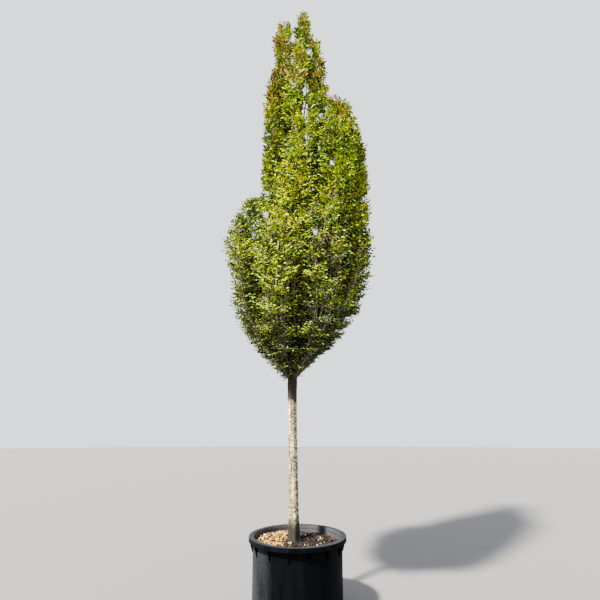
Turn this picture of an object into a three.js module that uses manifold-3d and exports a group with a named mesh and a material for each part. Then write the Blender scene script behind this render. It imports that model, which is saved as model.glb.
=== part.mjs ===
// A columnar hornbeam about 8 m tall, standing in the large black container it was raised in.
// Millimetres, +Z up. The origin is the middle of the container's flat underside.
// -Y is the side that faces the viewer, and +X is the viewer's right.
// Heights in the tree are measured up from the surface of the soil.
import * as THREE from 'three';
import { mergeVertices } from 'three/addons/utils/BufferGeometryUtils.js';
import Module from 'manifold-3d';

const wasm = await Module();
wasm.setup();

// Container: a moulded tub with a turned-down rim, held by gussets.
const POT_HEIGHT = 560;
const POT_BASE_RADIUS = 395;
const POT_TOP_RADIUS = 412;
const POT_BASE_ROUND = 14;
const POT_WALL = 7;
const POT_FLOOR = 9;
const POT_SIDES = 36;
const RIM_RADIUS = 450;
const RIM_DROP = 36;
const RIM_ROUND = 7;
const GUSSET_COUNT = 15;
const GUSSET_LENGTH = 105;
const GUSSET_THICKNESS = 6;
const GUSSET_SINK = 2;
const GUSSET_TOE = 3;

// Soil: the filling of the container, with its surface below the rim.
const SOIL_BELOW_RIM = 65;
const SOIL_HEIGHT = POT_HEIGHT - SOIL_BELOW_RIM;

// Gap between solids that touch on the real tree, and the step that finds a seat's direction.
const SEAT_GAP = 0.3;
const SEAT_STEP = 0.01;

// Trunk: [height, radius] stations of its taper, from the flat cut on the soil to its tip.
const TRUNK_STATIONS = [
  [0, 65], [40, 59], [110, 54.5], [250, 50.3], [810, 46], [1200, 46.5], [1420, 51.5],
  [1620, 47], [2000, 40], [2700, 34], [3500, 28], [4500, 21], [5600, 13],
];
const TRUNK_FOOT_X = -36;
const TRUNK_LEAN = -27;
const CLEAR_STEM = 1400;
const LEADER_TOP_X = 90;
const TREE_HEIGHT = 7960;
const LEADER_SWAY = 16;
const LEADER_SWAY_LENGTH = 2300;
const TRUNK_SIDES = 14;
const FLARE_LOBES = 5;
const FLARE_DEPTH = 0.09;
const FLARE_HEIGHT = 150;
const FLUTE_COUNT = 3;
const FLUTE_DEPTH = 0.035;

// Limbs: a bough leaves the trunk at fork and turns up, and its mass of leaves carries on to top.
// Heading is in degrees from the viewer's right towards the back. Reach is how far the tip stands
// off the trunk's line, and girth is how far the mass spreads from its stem. Bare is the share of
// the climb that is bough, before the mass begins.
const LIMBS = [
  { name: 'lower_1', heading: 184, fork: 1530, top: 3880, reach: 640, girth: 240, bare: 0.1 },
  { name: 'lower_2', heading: 205, fork: 1470, top: 3330, reach: 760, girth: 235, bare: 0.1 },
  { name: 'lower_3', heading: 250, fork: 1540, top: 3250, reach: 620, girth: 250, bare: 0.1 },
  { name: 'lower_4', heading: 300, fork: 1480, top: 3400, reach: 700, girth: 260, bare: 0.1 },
  { name: 'lower_5', heading: 344, fork: 1540, top: 3450, reach: 800, girth: 250, bare: 0.1 },
  { name: 'lower_6', heading: 24, fork: 1490, top: 3650, reach: 790, girth: 250, bare: 0.1 },
  { name: 'lower_7', heading: 74, fork: 1550, top: 3500, reach: 740, girth: 260, bare: 0.1 },
  { name: 'lower_8', heading: 128, fork: 1480, top: 3600, reach: 730, girth: 260, bare: 0.1 },
  { name: 'middle_1', heading: 220, fork: 2000, top: 4750, reach: 370, girth: 200, bare: 0.15 },
  { name: 'middle_2', heading: 268, fork: 1900, top: 4350, reach: 470, girth: 230, bare: 0.15 },
  { name: 'middle_3', heading: 318, fork: 2100, top: 4800, reach: 600, girth: 240, bare: 0.15 },
  { name: 'middle_4', heading: 3, fork: 1950, top: 4900, reach: 800, girth: 230, bare: 0.15 },
  { name: 'middle_5', heading: 50, fork: 2200, top: 5200, reach: 680, girth: 240, bare: 0.15 },
  { name: 'middle_6', heading: 96, fork: 2000, top: 4800, reach: 600, girth: 240, bare: 0.15 },
  { name: 'middle_7', heading: 150, fork: 2150, top: 5050, reach: 380, girth: 210, bare: 0.15 },
  { name: 'upper_1', heading: 190, fork: 2800, top: 6260, reach: 390, girth: 190, bare: 0.2 },
  { name: 'upper_2', heading: 338, fork: 2650, top: 5830, reach: 600, girth: 230, bare: 0.2 },
  { name: 'upper_3', heading: 22, fork: 2500, top: 5650, reach: 830, girth: 220, bare: 0.2 },
  { name: 'upper_4', heading: 105, fork: 3000, top: 6050, reach: 400, girth: 210, bare: 0.2 },
  { name: 'upper_5', heading: 292, fork: 2900, top: 5450, reach: 300, girth: 210, bare: 0.2 },
  { name: 'top_1', heading: 165, fork: 4050, top: 7720, reach: 350, girth: 165, bare: 0.25 },
  { name: 'top_2', heading: 338, fork: 3700, top: 7180, reach: 250, girth: 170, bare: 0.27 },
  { name: 'top_3', heading: 245, fork: 3900, top: 6750, reach: 200, girth: 170, bare: 0.27 },
  { name: 'top_4', heading: 80, fork: 4200, top: 6900, reach: 220, girth: 170, bare: 0.27 },
];
const LEADER = { name: 'leader', top: TREE_HEIGHT, girth: 170 };
const LOWEST_FORK = 1470;
const HIGHEST_FORK = 4200;
const LOW_FORK_ANGLE = 50;
const HIGH_FORK_ANGLE = 24;
const LIMB_SWAY = 45;
const BOUGH_STEPS = 3;
const STEM_STEPS = 7;
const BOUGH_SIDES = 5;
const BOUGH_ROOT_SHARE = 0.0072;
const BOUGH_ROOT_LEAST = 14;
const LIMB_TIP_RADIUS = 5;
const LIMB_TAPER_POWER = 0.8;
const STEM_SIDES = 3;
const STEM_ROOT_SHARE = 0.94;

// Twigs: they leave each stem by the golden angle. Spacing is the length of stem that each one
// has, crowding above 1 draws them down the stem, and leaf is the size of that tier's leaves.
const GROWTH = {
  lower: { spacing: 222, crowding: 1.45, leaf: 0.94 },
  middle: { spacing: 275, crowding: 1.1, leaf: 1 },
  upper: { spacing: 275, crowding: 1, leaf: 0.95 },
  top: { spacing: 285, crowding: 0.9, leaf: 0.8 },
  leader: { spacing: 240, crowding: 0.9, leaf: 0.76 },
};
const GOLDEN_ANGLE = THREE.MathUtils.degToRad(137.508);
const FIRST_TWIG = 0.05;
const TWIG_LENGTH_SHARE = 0.62;
const TWIG_LENGTH_LEAST = 0.65;
const TWIG_RADIUS_SHARE = 0.62;
const TWIG_TRIES = [1, 0.7, 0.45];
const TWIG_SPREAD_LOW = 58;
const TWIG_SPREAD_HIGH = 30;

// A mass's twigs are shorter at its foot, and shorter again from the shoulder up to its tip.
const PLUME_FOOT = 0.72;
const PLUME_SHOULDER = 0.55;
const PLUME_TIP = 0.45;

// Leaves: each stands for a whole spray of small ones, so it is larger than life.
const LEAF_LENGTH = 355;
const LEAF_WIDTH = 245;
const LEAF_THICKNESS = 8;
const LEAF_WIDEST = 0.48;
const LEAF_RIDGE = 0.1;
const LEAF_ROOT = 2;
const LEAF_SIZE_LEAST = 0.82;
const LEAF_TRIES = [1, 0.8, 0.62, 0.46];
const LEAF_ROLL = 1;
const TIP_LEAF_SHARE = 0.74;
const TOP_LEAF_SHARE = 0.985;
const TOP_LEAF_TURN = 0.5;
const SIDE_LEAVES = [[0.2, 1], [0.38, -1], [0.56, 1]];
const SIDE_LEAF_TURN = 52;
const UP_PULL = 0.45;
const BLADE_LIFT = 0.55;
const EDGE_SAMPLES = [0.1, 0.3, 0.5, 0.7, 0.9, 1];
const SPACE_MARGIN = 7;
const LIMB_MARGIN = 5;
const FUSE_TOLERANCE = 0.05;
const WELD_DISTANCE = 1e-4;
const SEED = 41;
const SEED_STEP = 977;

// Looks
const POT_LOOK = { color: 0x25282a, roughness: 0.6 };
const SOIL_LOOK = { color: 0x8c5f38, roughness: 0.95 };
const TRUNK_LOOK = { color: 0xa99e87, roughness: 0.85 };
const BOUGH_LOOK = { color: 0x857a63, roughness: 0.85 };
const LEAF_ROUGHNESS = 0.7;
const LEAF_COLOURS = {
  lower: 0x7f9426,
  middle: 0x93a62a,
  upper: 0x8d9130,
  top: 0x8a7f31,
  leader: 0x8f7a33,
};

const UP = new THREE.Vector3(0, 0, 1);
const TOWARDS_VIEWER = new THREE.Vector3(0, -1, 0);
const AWAY = new THREE.Vector3(0, 1, 0);
const TAU = Math.PI * 2;
const { lerp, mapLinear, degToRad } = THREE.MathUtils;

function seededRandom(seed) {
  const factor = 1664525;
  const step = 1013904223;
  const range = 2 ** 32;
  let state = seed >>> 0;
  return () => {
    state = (Math.imul(state, factor) + step) >>> 0;
    return state / range;
  };
}

function toSolid(geometry) {
  const bare = geometry.clone();
  bare.deleteAttribute('normal');
  bare.deleteAttribute('uv');
  const merged = mergeVertices(bare, WELD_DISTANCE);
  return new wasm.Manifold(new wasm.Mesh({
    numProp: 3,
    vertProperties: new Float32Array(merged.attributes.position.array),
    triVerts: new Uint32Array(merged.index.array),
  }));
}

function toGeometry(solid) {
  const mesh = solid.getMesh();
  const geometry = new THREE.BufferGeometry();
  geometry.setAttribute('position', new THREE.BufferAttribute(new Float32Array(mesh.vertProperties), 3));
  geometry.setIndex(new THREE.BufferAttribute(new Uint32Array(mesh.triVerts), 1));
  geometry.computeVertexNormals();
  return geometry;
}

function largestBody(solid) {
  return solid.decompose().reduce((best, body) => (body.volume() > best.volume() ? body : best));
}

function named(name, geometry, look) {
  const mesh = new THREE.Mesh(geometry, new THREE.MeshStandardMaterial({ ...look, metalness: 0 }));
  mesh.name = name;
  return mesh;
}

// The trunk's line: it leans a little to the left up to the crown, then back to the right.
function trunkCentre(height) {
  const kneeX = TRUNK_FOOT_X + TRUNK_LEAN;
  const x = height < CLEAR_STEM
    ? mapLinear(height, 0, CLEAR_STEM, TRUNK_FOOT_X, kneeX)
    : mapLinear(height, CLEAR_STEM, TREE_HEIGHT, kneeX, LEADER_TOP_X);
  const y = LEADER_SWAY * Math.sin((TAU * height) / LEADER_SWAY_LENGTH);
  return new THREE.Vector3(x, y, SOIL_HEIGHT + height);
}

// A tapering limb: a cylinder's rings are set square to the line at each of its stations. Where the
// next piece carries the line on, the two facing ends are square to one shared direction.
function limbGeometry(line, sides, { foot = null, head = null, section = () => 1 } = {}) {
  const last = line.length - 1;
  const geometry = new THREE.CylinderGeometry(1, 1, 1, sides, last);
  const position = geometry.attributes.position;
  const frames = line.map((station, index) => {
    const before = line[Math.max(index - 1, 0)].point;
    const after = line[Math.min(index + 1, last)].point;
    const shared = { 0: foot, [last]: head }[index];
    const along = shared ?? after.clone().sub(before).normalize();
    const side = AWAY.clone().cross(along).normalize();
    return { side, depth: along.clone().cross(side).normalize() };
  });
  for (let vertex = 0; vertex < position.count; vertex++) {
    const ring = Math.round((position.getY(vertex) + 0.5) * last);
    const across = position.getX(vertex);
    const deep = -position.getZ(vertex);
    const scale = line[ring].radius * section(Math.atan2(deep, across), line[ring].point);
    const place = line[ring].point.clone()
      .addScaledVector(frames[ring].side, across * scale)
      .addScaledVector(frames[ring].depth, deep * scale);
    position.setXYZ(vertex, place.x, place.y, place.z);
  }
  return geometry;
}

function potGeometry() {
  const innerTop = POT_TOP_RADIUS - POT_WALL;
  const rimFoot = POT_HEIGHT - RIM_DROP;
  const profile = [
    [0, 0],
    [POT_BASE_RADIUS - POT_BASE_ROUND, 0],
    [POT_BASE_RADIUS, POT_BASE_ROUND],
    [POT_TOP_RADIUS, rimFoot],
    [RIM_RADIUS, rimFoot],
    [RIM_RADIUS, POT_HEIGHT - RIM_ROUND],
    [RIM_RADIUS - RIM_ROUND, POT_HEIGHT],
    [innerTop + RIM_ROUND, POT_HEIGHT],
    [innerTop, POT_HEIGHT - RIM_ROUND],
    [POT_BASE_RADIUS - POT_WALL, POT_FLOOR],
    [0, POT_FLOOR],
  ];
  const outline = profile.map(([radius, height]) => new THREE.Vector2(radius, height));
  const shell = new THREE.LatheGeometry(outline, POT_SIDES);
  shell.rotateX(Math.PI / 2);
  const gussetBack = POT_TOP_RADIUS - POT_WALL / 2 - GUSSET_SINK;
  const gussetShape = new THREE.Shape([
    new THREE.Vector2(gussetBack, rimFoot - GUSSET_LENGTH),
    new THREE.Vector2(POT_TOP_RADIUS + GUSSET_TOE, rimFoot - GUSSET_LENGTH),
    new THREE.Vector2(RIM_RADIUS - RIM_ROUND, rimFoot + GUSSET_SINK),
    new THREE.Vector2(gussetBack, rimFoot + GUSSET_SINK),
  ]);
  const gussets = Array.from({ length: GUSSET_COUNT }, (_, index) => {
    const gusset = new THREE.ExtrudeGeometry(gussetShape, { depth: GUSSET_THICKNESS, bevelEnabled: false });
    gusset.translate(0, 0, -GUSSET_THICKNESS / 2);
    gusset.rotateX(Math.PI / 2);
    gusset.rotateZ((TAU * (index + 0.5)) / GUSSET_COUNT - Math.PI / 2);
    return toSolid(gusset);
  });
  return toGeometry(wasm.Manifold.union([toSolid(shell), ...gussets]));
}

function soilGeometry() {
  const wallSlope = (POT_TOP_RADIUS - POT_BASE_RADIUS) / (POT_HEIGHT - RIM_ROUND - POT_FLOOR);
  const bottomRadius = POT_BASE_RADIUS - POT_WALL - SEAT_GAP;
  const topRadius = bottomRadius + wallSlope * (SOIL_HEIGHT - POT_FLOOR);
  const outline = [
    new THREE.Vector2(0, POT_FLOOR + SEAT_GAP),
    new THREE.Vector2(bottomRadius, POT_FLOOR + SEAT_GAP),
    new THREE.Vector2(topRadius, SOIL_HEIGHT),
    new THREE.Vector2(0, SOIL_HEIGHT),
  ];
  const soil = new THREE.LatheGeometry(outline, POT_SIDES);
  soil.rotateX(Math.PI / 2);
  return soil;
}

function trunkSection(angle, point) {
  const height = point.z - SOIL_HEIGHT;
  const flare = FLARE_DEPTH * Math.cos(FLARE_LOBES * angle) * Math.exp(-height / FLARE_HEIGHT);
  const flute = FLUTE_DEPTH * Math.cos(FLUTE_COUNT * angle);
  return 1 + flare + flute;
}

function trunkGeometry(grow) {
  const line = TRUNK_STATIONS.map(([height, radius]) => (
    { point: trunkCentre(height), radius: radius + grow }
  ));
  line[0].point.z += SEAT_GAP - grow;
  return limbGeometry(line, TRUNK_SIDES, { foot: UP, head: UP, section: trunkSection });
}

// A limb's line, from its fork at 0 to the tip of its mass at 1.
function limbPoint(limb, share) {
  const climb = limb.top - limb.fork;
  const steepness = (limb.fork - LOWEST_FORK) / (HIGHEST_FORK - LOWEST_FORK);
  const forkAngle = degToRad(lerp(LOW_FORK_ANGLE, HIGH_FORK_ANGLE, steepness));
  const sweep = (Math.tan(forkAngle) * climb) / limb.reach;
  const off = limb.reach * (1 - (1 - share) ** sweep);
  const heading = degToRad(limb.heading);
  const sway = LIMB_SWAY * Math.sin(TAU * share) * Math.sin(limb.heading + limb.fork);
  const point = trunkCentre(limb.fork + climb * share);
  point.x += off * Math.cos(heading) - sway * Math.sin(heading);
  point.y += off * Math.sin(heading) + sway * Math.cos(heading);
  return point;
}

// The direction in which a bough ends and its mass's stem begins.
function seatDirection(limb) {
  return limbPoint(limb, limb.bare + SEAT_STEP).sub(limbPoint(limb, limb.bare - SEAT_STEP)).normalize();
}

function limbRadius(limb, share) {
  const root = Math.max(BOUGH_ROOT_LEAST, (limb.top - limb.fork) * BOUGH_ROOT_SHARE);
  return lerp(root, LIMB_TIP_RADIUS, share ** LIMB_TAPER_POWER);
}

function limbLine(limb, from, to, steps) {
  return Array.from({ length: steps + 1 }, (_, index) => {
    const share = lerp(from, to, index / steps);
    return { point: limbPoint(limb, share), radius: limbRadius(limb, share) };
  });
}

function growthOf(mass) {
  return GROWTH[mass.name.split('_')[0]];
}

// The length of the leaf that stands on top of a mass.
function topLeafLength(mass) {
  return LEAF_LENGTH * LEAF_SIZE_LEAST * growthOf(mass).leaf;
}

function leaderLine() {
  const [trunkTop, tipRadius] = TRUNK_STATIONS[TRUNK_STATIONS.length - 1];
  const foot = trunkTop + SEAT_GAP;
  const stemTop = foot + (TREE_HEIGHT - topLeafLength(LEADER) - foot) / TOP_LEAF_SHARE;
  return Array.from({ length: STEM_STEPS + 1 }, (_, index) => {
    const share = index / STEM_STEPS;
    const radius = lerp(tipRadius * STEM_ROOT_SHARE, LIMB_TIP_RADIUS, share);
    return { point: trunkCentre(lerp(foot, stemTop, share)), radius };
  });
}

function stemLine(limb) {
  const tip = 1 - topLeafLength(limb) / (limb.top - limb.fork);
  const line = limbLine(limb, limb.bare, tip, STEM_STEPS);
  line[0].point.addScaledVector(seatDirection(limb), SEAT_GAP);
  line[0].radius *= STEM_ROOT_SHARE;
  return line;
}

function distanceToLine(point, line) {
  let nearest = Infinity;
  let nearestRadius = 0;
  const segment = new THREE.Line3();
  const closest = new THREE.Vector3();
  for (let index = 0; index + 1 < line.length; index++) {
    segment.set(line[index].point, line[index + 1].point);
    segment.closestPointToPoint(point, true, closest);
    const distance = closest.distanceTo(point);
    if (distance < nearest) {
      nearest = distance;
      nearestRadius = Math.max(line[index].radius, line[index + 1].radius);
    }
  }
  return { distance: nearest, radius: nearestRadius };
}

const trunkLine = TRUNK_STATIONS.map(([height, radius]) => ({ point: trunkCentre(height), radius }));
const boughLines = LIMBS.map((limb) => limbLine(limb, 0, limb.bare, BOUGH_STEPS));
const limbLines = [trunkLine, ...boughLines];
const masses = [
  ...LIMBS.map((limb) => ({ ...limb, line: stemLine(limb), foot: seatDirection(limb) })),
  { ...LEADER, line: leaderLine(), foot: UP },
];

// A mass's own space: nearer to its stem than to any other's, and clear of the trunk and boughs.
function inOwnSpace(mass, point) {
  const own = distanceToLine(point, mass.line).distance;
  const apart = own + SPACE_MARGIN * 2;
  if (masses.some((other) => other !== mass && distanceToLine(point, other.line).distance < apart)) {
    return false;
  }
  return limbLines.every((line) => {
    const limb = distanceToLine(point, line);
    return limb.distance > limb.radius + LIMB_MARGIN;
  });
}

// The way a blade faces: partly up and partly out from the stem.
function leafFrame(direction, outward) {
  const lifted = UP.clone().multiplyScalar(BLADE_LIFT).addScaledVector(outward, 1 - BLADE_LIFT);
  const face = lifted.addScaledVector(direction, -lifted.dot(direction)).normalize();
  const side = direction.clone().cross(face).normalize();
  return { side, face };
}

// A leaf is a low wedge: a kite-shaped blade with a flat back, thickest where it meets the twig.
function leafGeometry(root, direction, outward, size, roll) {
  const length = LEAF_LENGTH * size;
  const halfWidth = (LEAF_WIDTH * size) / 2;
  const { side, face } = leafFrame(direction, outward);
  side.applyAxisAngle(direction, roll);
  face.applyAxisAngle(direction, roll);
  const corner = (along, across, lift) => root.clone()
    .addScaledVector(direction, along)
    .addScaledVector(side, across)
    .addScaledVector(face, lift);
  const blade = new THREE.BufferGeometry().setFromPoints([
    corner(LEAF_ROOT, 0, 0),
    corner(LEAF_WIDEST * length, halfWidth, 0),
    corner(length, 0, 0),
    corner(LEAF_WIDEST * length, -halfWidth, 0),
    corner(LEAF_RIDGE * length, 0, LEAF_THICKNESS),
  ]);
  blade.setIndex([0, 1, 4, 1, 2, 4, 2, 3, 4, 3, 0, 4, 0, 2, 1, 0, 3, 2]);
  return blade;
}

// A leaf is free where its edges and its two middle lines all lie in the mass's own space.
function leafIsFree(mass, blade) {
  const position = blade.attributes.position;
  const corner = (index) => new THREE.Vector3().fromBufferAttribute(position, index);
  const [root, left, tip, right] = [0, 1, 2, 3].map(corner);
  const edges = [[root, left], [left, tip], [tip, right], [right, root], [root, tip], [left, right]];
  return edges.every(([from, to]) => (
    EDGE_SAMPLES.every((share) => inOwnSpace(mass, from.clone().lerp(to, share)))
  ));
}

// A three-sided twig, drawn out to a point.
function twigGeometry(root, tip, radius) {
  const direction = tip.clone().sub(root).normalize();
  const side = AWAY.clone().cross(direction).normalize().multiplyScalar(radius);
  const foot = (turn) => side.clone().applyAxisAngle(direction, turn * (TAU / 3)).add(root);
  const twig = new THREE.BufferGeometry().setFromPoints([foot(0), foot(1), foot(2), tip]);
  twig.setIndex([0, 1, 3, 1, 2, 3, 2, 0, 3, 0, 2, 1]);
  return twig;
}

function linePoint(line, share) {
  const place = share * (line.length - 1);
  const index = Math.min(Math.floor(place), line.length - 2);
  const point = line[index].point.clone().lerp(line[index + 1].point, place - index);
  const along = line[index + 1].point.clone().sub(line[index].point).normalize();
  const radius = lerp(line[index].radius, line[index + 1].radius, place - index);
  return { point, along, radius };
}

function lineLength(line) {
  const spans = line.slice(1).map((station, index) => station.point.distanceTo(line[index].point));
  return spans.reduce((sum, span) => sum + span, 0);
}

function plumeWidth(share) {
  const swell = Math.min(1, PLUME_FOOT + share);
  const narrow = share > PLUME_SHOULDER ? mapLinear(share, PLUME_SHOULDER, 1, 1, PLUME_TIP) : 1;
  return swell * narrow;
}

function boxesMeet(one, other) {
  const first = one.boundingBox();
  const second = other.boundingBox();
  return [0, 1, 2].every((axis) => (
    first.min[axis] < second.max[axis] && second.min[axis] < first.max[axis]
  ));
}

function crosses(blade, pieces) {
  return pieces.some((piece) => boxesMeet(blade, piece) && !piece.intersect(blade).isEmpty());
}

// The largest leaf that fits at a place, out of a few sizes, or null where none does.
function fittingLeaf(mass, pieces, { root, direction, outward, size, roll }) {
  for (const part of LEAF_TRIES) {
    const geometry = leafGeometry(root, direction, outward, size * part, roll);
    if (leafIsFree(mass, geometry)) {
      const blade = toSolid(geometry);
      if (!crosses(blade, pieces)) {
        return blade;
      }
    }
  }
  return null;
}

// The twigs of a mass leave its stem by the golden angle, each as long as its space allows.
function massTwigs(mass, random) {
  const growth = growthOf(mass);
  const twigCount = Math.round(lineLength(mass.line) / growth.spacing);
  const twigs = [];
  for (let twig = 0; twig < twigCount; twig++) {
    const share = lerp(FIRST_TWIG, 1, ((twig + random()) / twigCount) ** growth.crowding);
    const { point: root, along, radius } = linePoint(mass.line, share);
    const across = AWAY.clone().cross(along).normalize();
    const outward = across.applyAxisAngle(along, twig * GOLDEN_ANGLE + random());
    const spread = degToRad(lerp(TWIG_SPREAD_LOW, TWIG_SPREAD_HIGH, share));
    const direction = along.clone().multiplyScalar(Math.cos(spread))
      .addScaledVector(outward, Math.sin(spread));
    const fullLength = mass.girth * TWIG_LENGTH_SHARE * plumeWidth(share)
      * lerp(TWIG_LENGTH_LEAST, 1, random());
    const size = growth.leaf * lerp(LEAF_SIZE_LEAST, 1, random());
    const rolls = [0, ...SIDE_LEAVES].map(() => LEAF_ROLL * (random() - 0.5));
    const ends = TWIG_TRIES.map((part) => root.clone().addScaledVector(direction, fullLength * part));
    const tip = ends.find((end) => inOwnSpace(mass, end) && inOwnSpace(mass, root.clone().lerp(end, 0.5)));
    if (tip) {
      twigs.push({ root, tip, direction, outward, size, rolls, radius: radius * TWIG_RADIUS_SHARE });
    }
  }
  return twigs;
}

// A twig's leaves: one carries on from its tip, and the rest stand to either side of it.
function leafPlaces({ root, tip, direction, outward, size, rolls }) {
  const { face } = leafFrame(direction, outward);
  return [[TIP_LEAF_SHARE, 0], ...SIDE_LEAVES].map(([share, hand], order) => {
    const way = direction.clone()
      .applyAxisAngle(face, hand * degToRad(SIDE_LEAF_TURN))
      .addScaledVector(UP, UP_PULL).normalize();
    return { root: root.clone().lerp(tip, share), direction: way, outward, size, roll: rolls[order] };
  });
}

function growMass(mass, index) {
  const stem = toSolid(limbGeometry(mass.line, STEM_SIDES, { foot: mass.foot }));
  const top = linePoint(mass.line, TOP_LEAF_SHARE);
  const topSize = topLeafLength(mass) / LEAF_LENGTH;
  const topLeaf = toSolid(leafGeometry(top.point, top.along, TOWARDS_VIEWER, topSize, TOP_LEAF_TURN));
  const pieces = [stem, topLeaf];
  massTwigs(mass, seededRandom(SEED + index * SEED_STEP)).forEach((twig) => {
    const blades = [];
    leafPlaces(twig).forEach((place) => {
      const blade = fittingLeaf(mass, [...pieces, ...blades], place);
      if (blade) {
        blades.push(blade);
      }
    });
    if (blades.length > 0) {
      pieces.push(toSolid(twigGeometry(twig.root, twig.tip, twig.radius)), ...blades);
    }
  });
  return toGeometry(largestBody(wasm.Manifold.union(pieces).simplify(FUSE_TOLERANCE)));
}

const tree = new THREE.Group();
tree.add(named('pot', potGeometry(), POT_LOOK));
tree.add(named('soil', soilGeometry(), SOIL_LOOK));
tree.add(named('trunk', trunkGeometry(0), TRUNK_LOOK));

const trunkClear = toSolid(trunkGeometry(SEAT_GAP));
LIMBS.forEach((limb, index) => {
  const bough = toSolid(limbGeometry(boughLines[index], BOUGH_SIDES, { head: seatDirection(limb) }));
  tree.add(named(`bough_${limb.name}`, toGeometry(largestBody(bough.subtract(trunkClear))), BOUGH_LOOK));
});

masses.forEach((mass, index) => {
  const look = { color: LEAF_COLOURS[mass.name.split('_')[0]], roughness: LEAF_ROUGHNESS };
  tree.add(named(`foliage_${mass.name}`, growMass(mass, index), look));
});

export default tree;
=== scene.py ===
"""A columnar hornbeam in early autumn leaf, standing in its black nursery container."""

import math
from collections import namedtuple

import bpy
import numpy as np
from mathutils import Matrix, Vector, noise


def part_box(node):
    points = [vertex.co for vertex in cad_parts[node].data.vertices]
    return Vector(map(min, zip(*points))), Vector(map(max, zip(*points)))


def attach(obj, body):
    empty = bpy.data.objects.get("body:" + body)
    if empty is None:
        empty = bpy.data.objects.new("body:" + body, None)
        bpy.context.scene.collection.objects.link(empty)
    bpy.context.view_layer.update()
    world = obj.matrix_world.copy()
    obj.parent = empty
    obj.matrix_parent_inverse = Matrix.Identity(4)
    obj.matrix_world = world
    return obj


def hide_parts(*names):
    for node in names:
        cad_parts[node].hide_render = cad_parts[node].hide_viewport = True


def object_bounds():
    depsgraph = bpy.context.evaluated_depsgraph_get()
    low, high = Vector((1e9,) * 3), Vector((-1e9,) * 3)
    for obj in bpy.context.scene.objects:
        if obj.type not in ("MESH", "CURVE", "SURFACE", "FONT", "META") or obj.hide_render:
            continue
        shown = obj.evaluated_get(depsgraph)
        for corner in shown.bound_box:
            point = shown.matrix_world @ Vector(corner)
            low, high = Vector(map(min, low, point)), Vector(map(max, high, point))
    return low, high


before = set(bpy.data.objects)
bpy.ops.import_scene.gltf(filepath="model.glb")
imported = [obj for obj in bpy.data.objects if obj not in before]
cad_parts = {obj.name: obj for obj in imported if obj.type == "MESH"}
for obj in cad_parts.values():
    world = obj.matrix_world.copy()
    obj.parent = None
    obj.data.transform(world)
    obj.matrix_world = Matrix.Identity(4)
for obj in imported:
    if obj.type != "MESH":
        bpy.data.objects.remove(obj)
cad_low, cad_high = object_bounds()

# The view: a camera held at eye height, under four metres off and tilted up to take in the tip.
EYE = (0.022, -3.8, 1.376)
UPWARD_TILT = math.radians(22)
LENS = 20.76
SENSOR_WIDTH = 36
FARTHEST_SEEN = 400

bpy.ops.object.camera_add(location=EYE, rotation=(math.radians(90) + UPWARD_TILT, 0, 0))
camera = bpy.context.object
camera.data.lens = LENS
camera.data.sensor_width = SENSOR_WIDTH
camera.data.clip_end = FARTHEST_SEEN
bpy.context.scene.camera = camera

# Container tub: black polythene, injection moulded with a slight taper, a rounded foot and a thin
# wall. Years outdoors have greyed it with dust and dried splashes, and a painted sheen pales its left
# side.
POT_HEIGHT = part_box("pot")[1].z
RIM_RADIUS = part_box("pot")[1].x
BASE_RADIUS = 0.395
TOP_RADIUS = 0.412
WALL = 0.007
FLOOR = 0.009
FOOT_ROUND = 0.012
RIM_DEPTH = 0.036
RIM_FOOT = POT_HEIGHT - RIM_DEPTH
ROUND_SIDES = 120
WELD = 0.00005
PLASTIC_GLOSS = 0.05
# the left side, where dust and a painted sheen pale the plastic
SHEEN_AND_DUST_SIDE = (-0.2, -0.41)
# up-facing slopes, paled by dust and a painted highlight
LEDGE_SLOPES = (0.25, 0.95)
# inward-facing walls, paled by dust and painted light
INWARD = (-BASE_RADIUS / 3, -BASE_RADIUS * 2 / 3)
DUST_RUNS = {"scale": 7, "detail": 5, "stretch": (1.6, 1.6, 0.35)}
GRIT = {"scale": 90, "detail": 3}
GRIT_HEIGHT = 0.0006


def start_mesh(add, **shape):
    """Adds a primitive with nothing else selected, and opens it in edit mode."""
    bpy.ops.object.select_all(action="DESELECT")
    add(**shape)
    bpy.ops.object.mode_set(mode="EDIT")
    bpy.ops.mesh.select_all(action="DESELECT")


def finish_mesh(name, material, smooth=35):
    """Closes edit mode, settles the new piece's place in its mesh, and gives it name and finish."""
    bpy.ops.object.mode_set(mode="OBJECT")
    piece = bpy.context.object
    bpy.ops.object.transform_apply(location=True, rotation=True, scale=True)
    bpy.ops.object.shade_smooth_by_angle(angle=math.radians(smooth))
    piece.name = name
    piece.data.materials.clear()
    piece.data.materials.append(material)
    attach(piece, "root")
    return piece


def pick(kind, test):
    """Selects the faces, edges or vertices whose middle passes the test, and drops the rest."""
    mode = {"faces": "FACE", "edges": "EDGE", "vertices": "VERT"}[kind]
    bpy.ops.mesh.select_mode(type=mode)
    bpy.ops.mesh.select_all(action="DESELECT")
    bpy.ops.object.mode_set(mode="OBJECT")
    mesh = bpy.context.object.data
    place = bpy.context.object.matrix_world
    points = [place @ vertex.co for vertex in mesh.vertices]
    for element in getattr(mesh, "polygons" if kind == "faces" else kind):
        corners = [element.index] if kind == "vertices" else list(element.vertices)
        middle = sum((points[corner] for corner in corners), Vector()) / len(corners)
        element.select = test(middle)
    bpy.ops.object.mode_set(mode="EDIT")


def new_material(name, roughness, gloss=0.5):
    """A principled material and its nodes: (material, nodes, links, shader)."""
    material = bpy.data.materials.new(name)
    material.use_nodes = True
    nodes = material.node_tree.nodes
    shader = nodes["Principled BSDF"]
    shader.inputs["Roughness"].default_value = roughness
    shader.inputs["Specular IOR Level"].default_value = gloss
    return material, nodes, material.node_tree.links, shader


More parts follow.
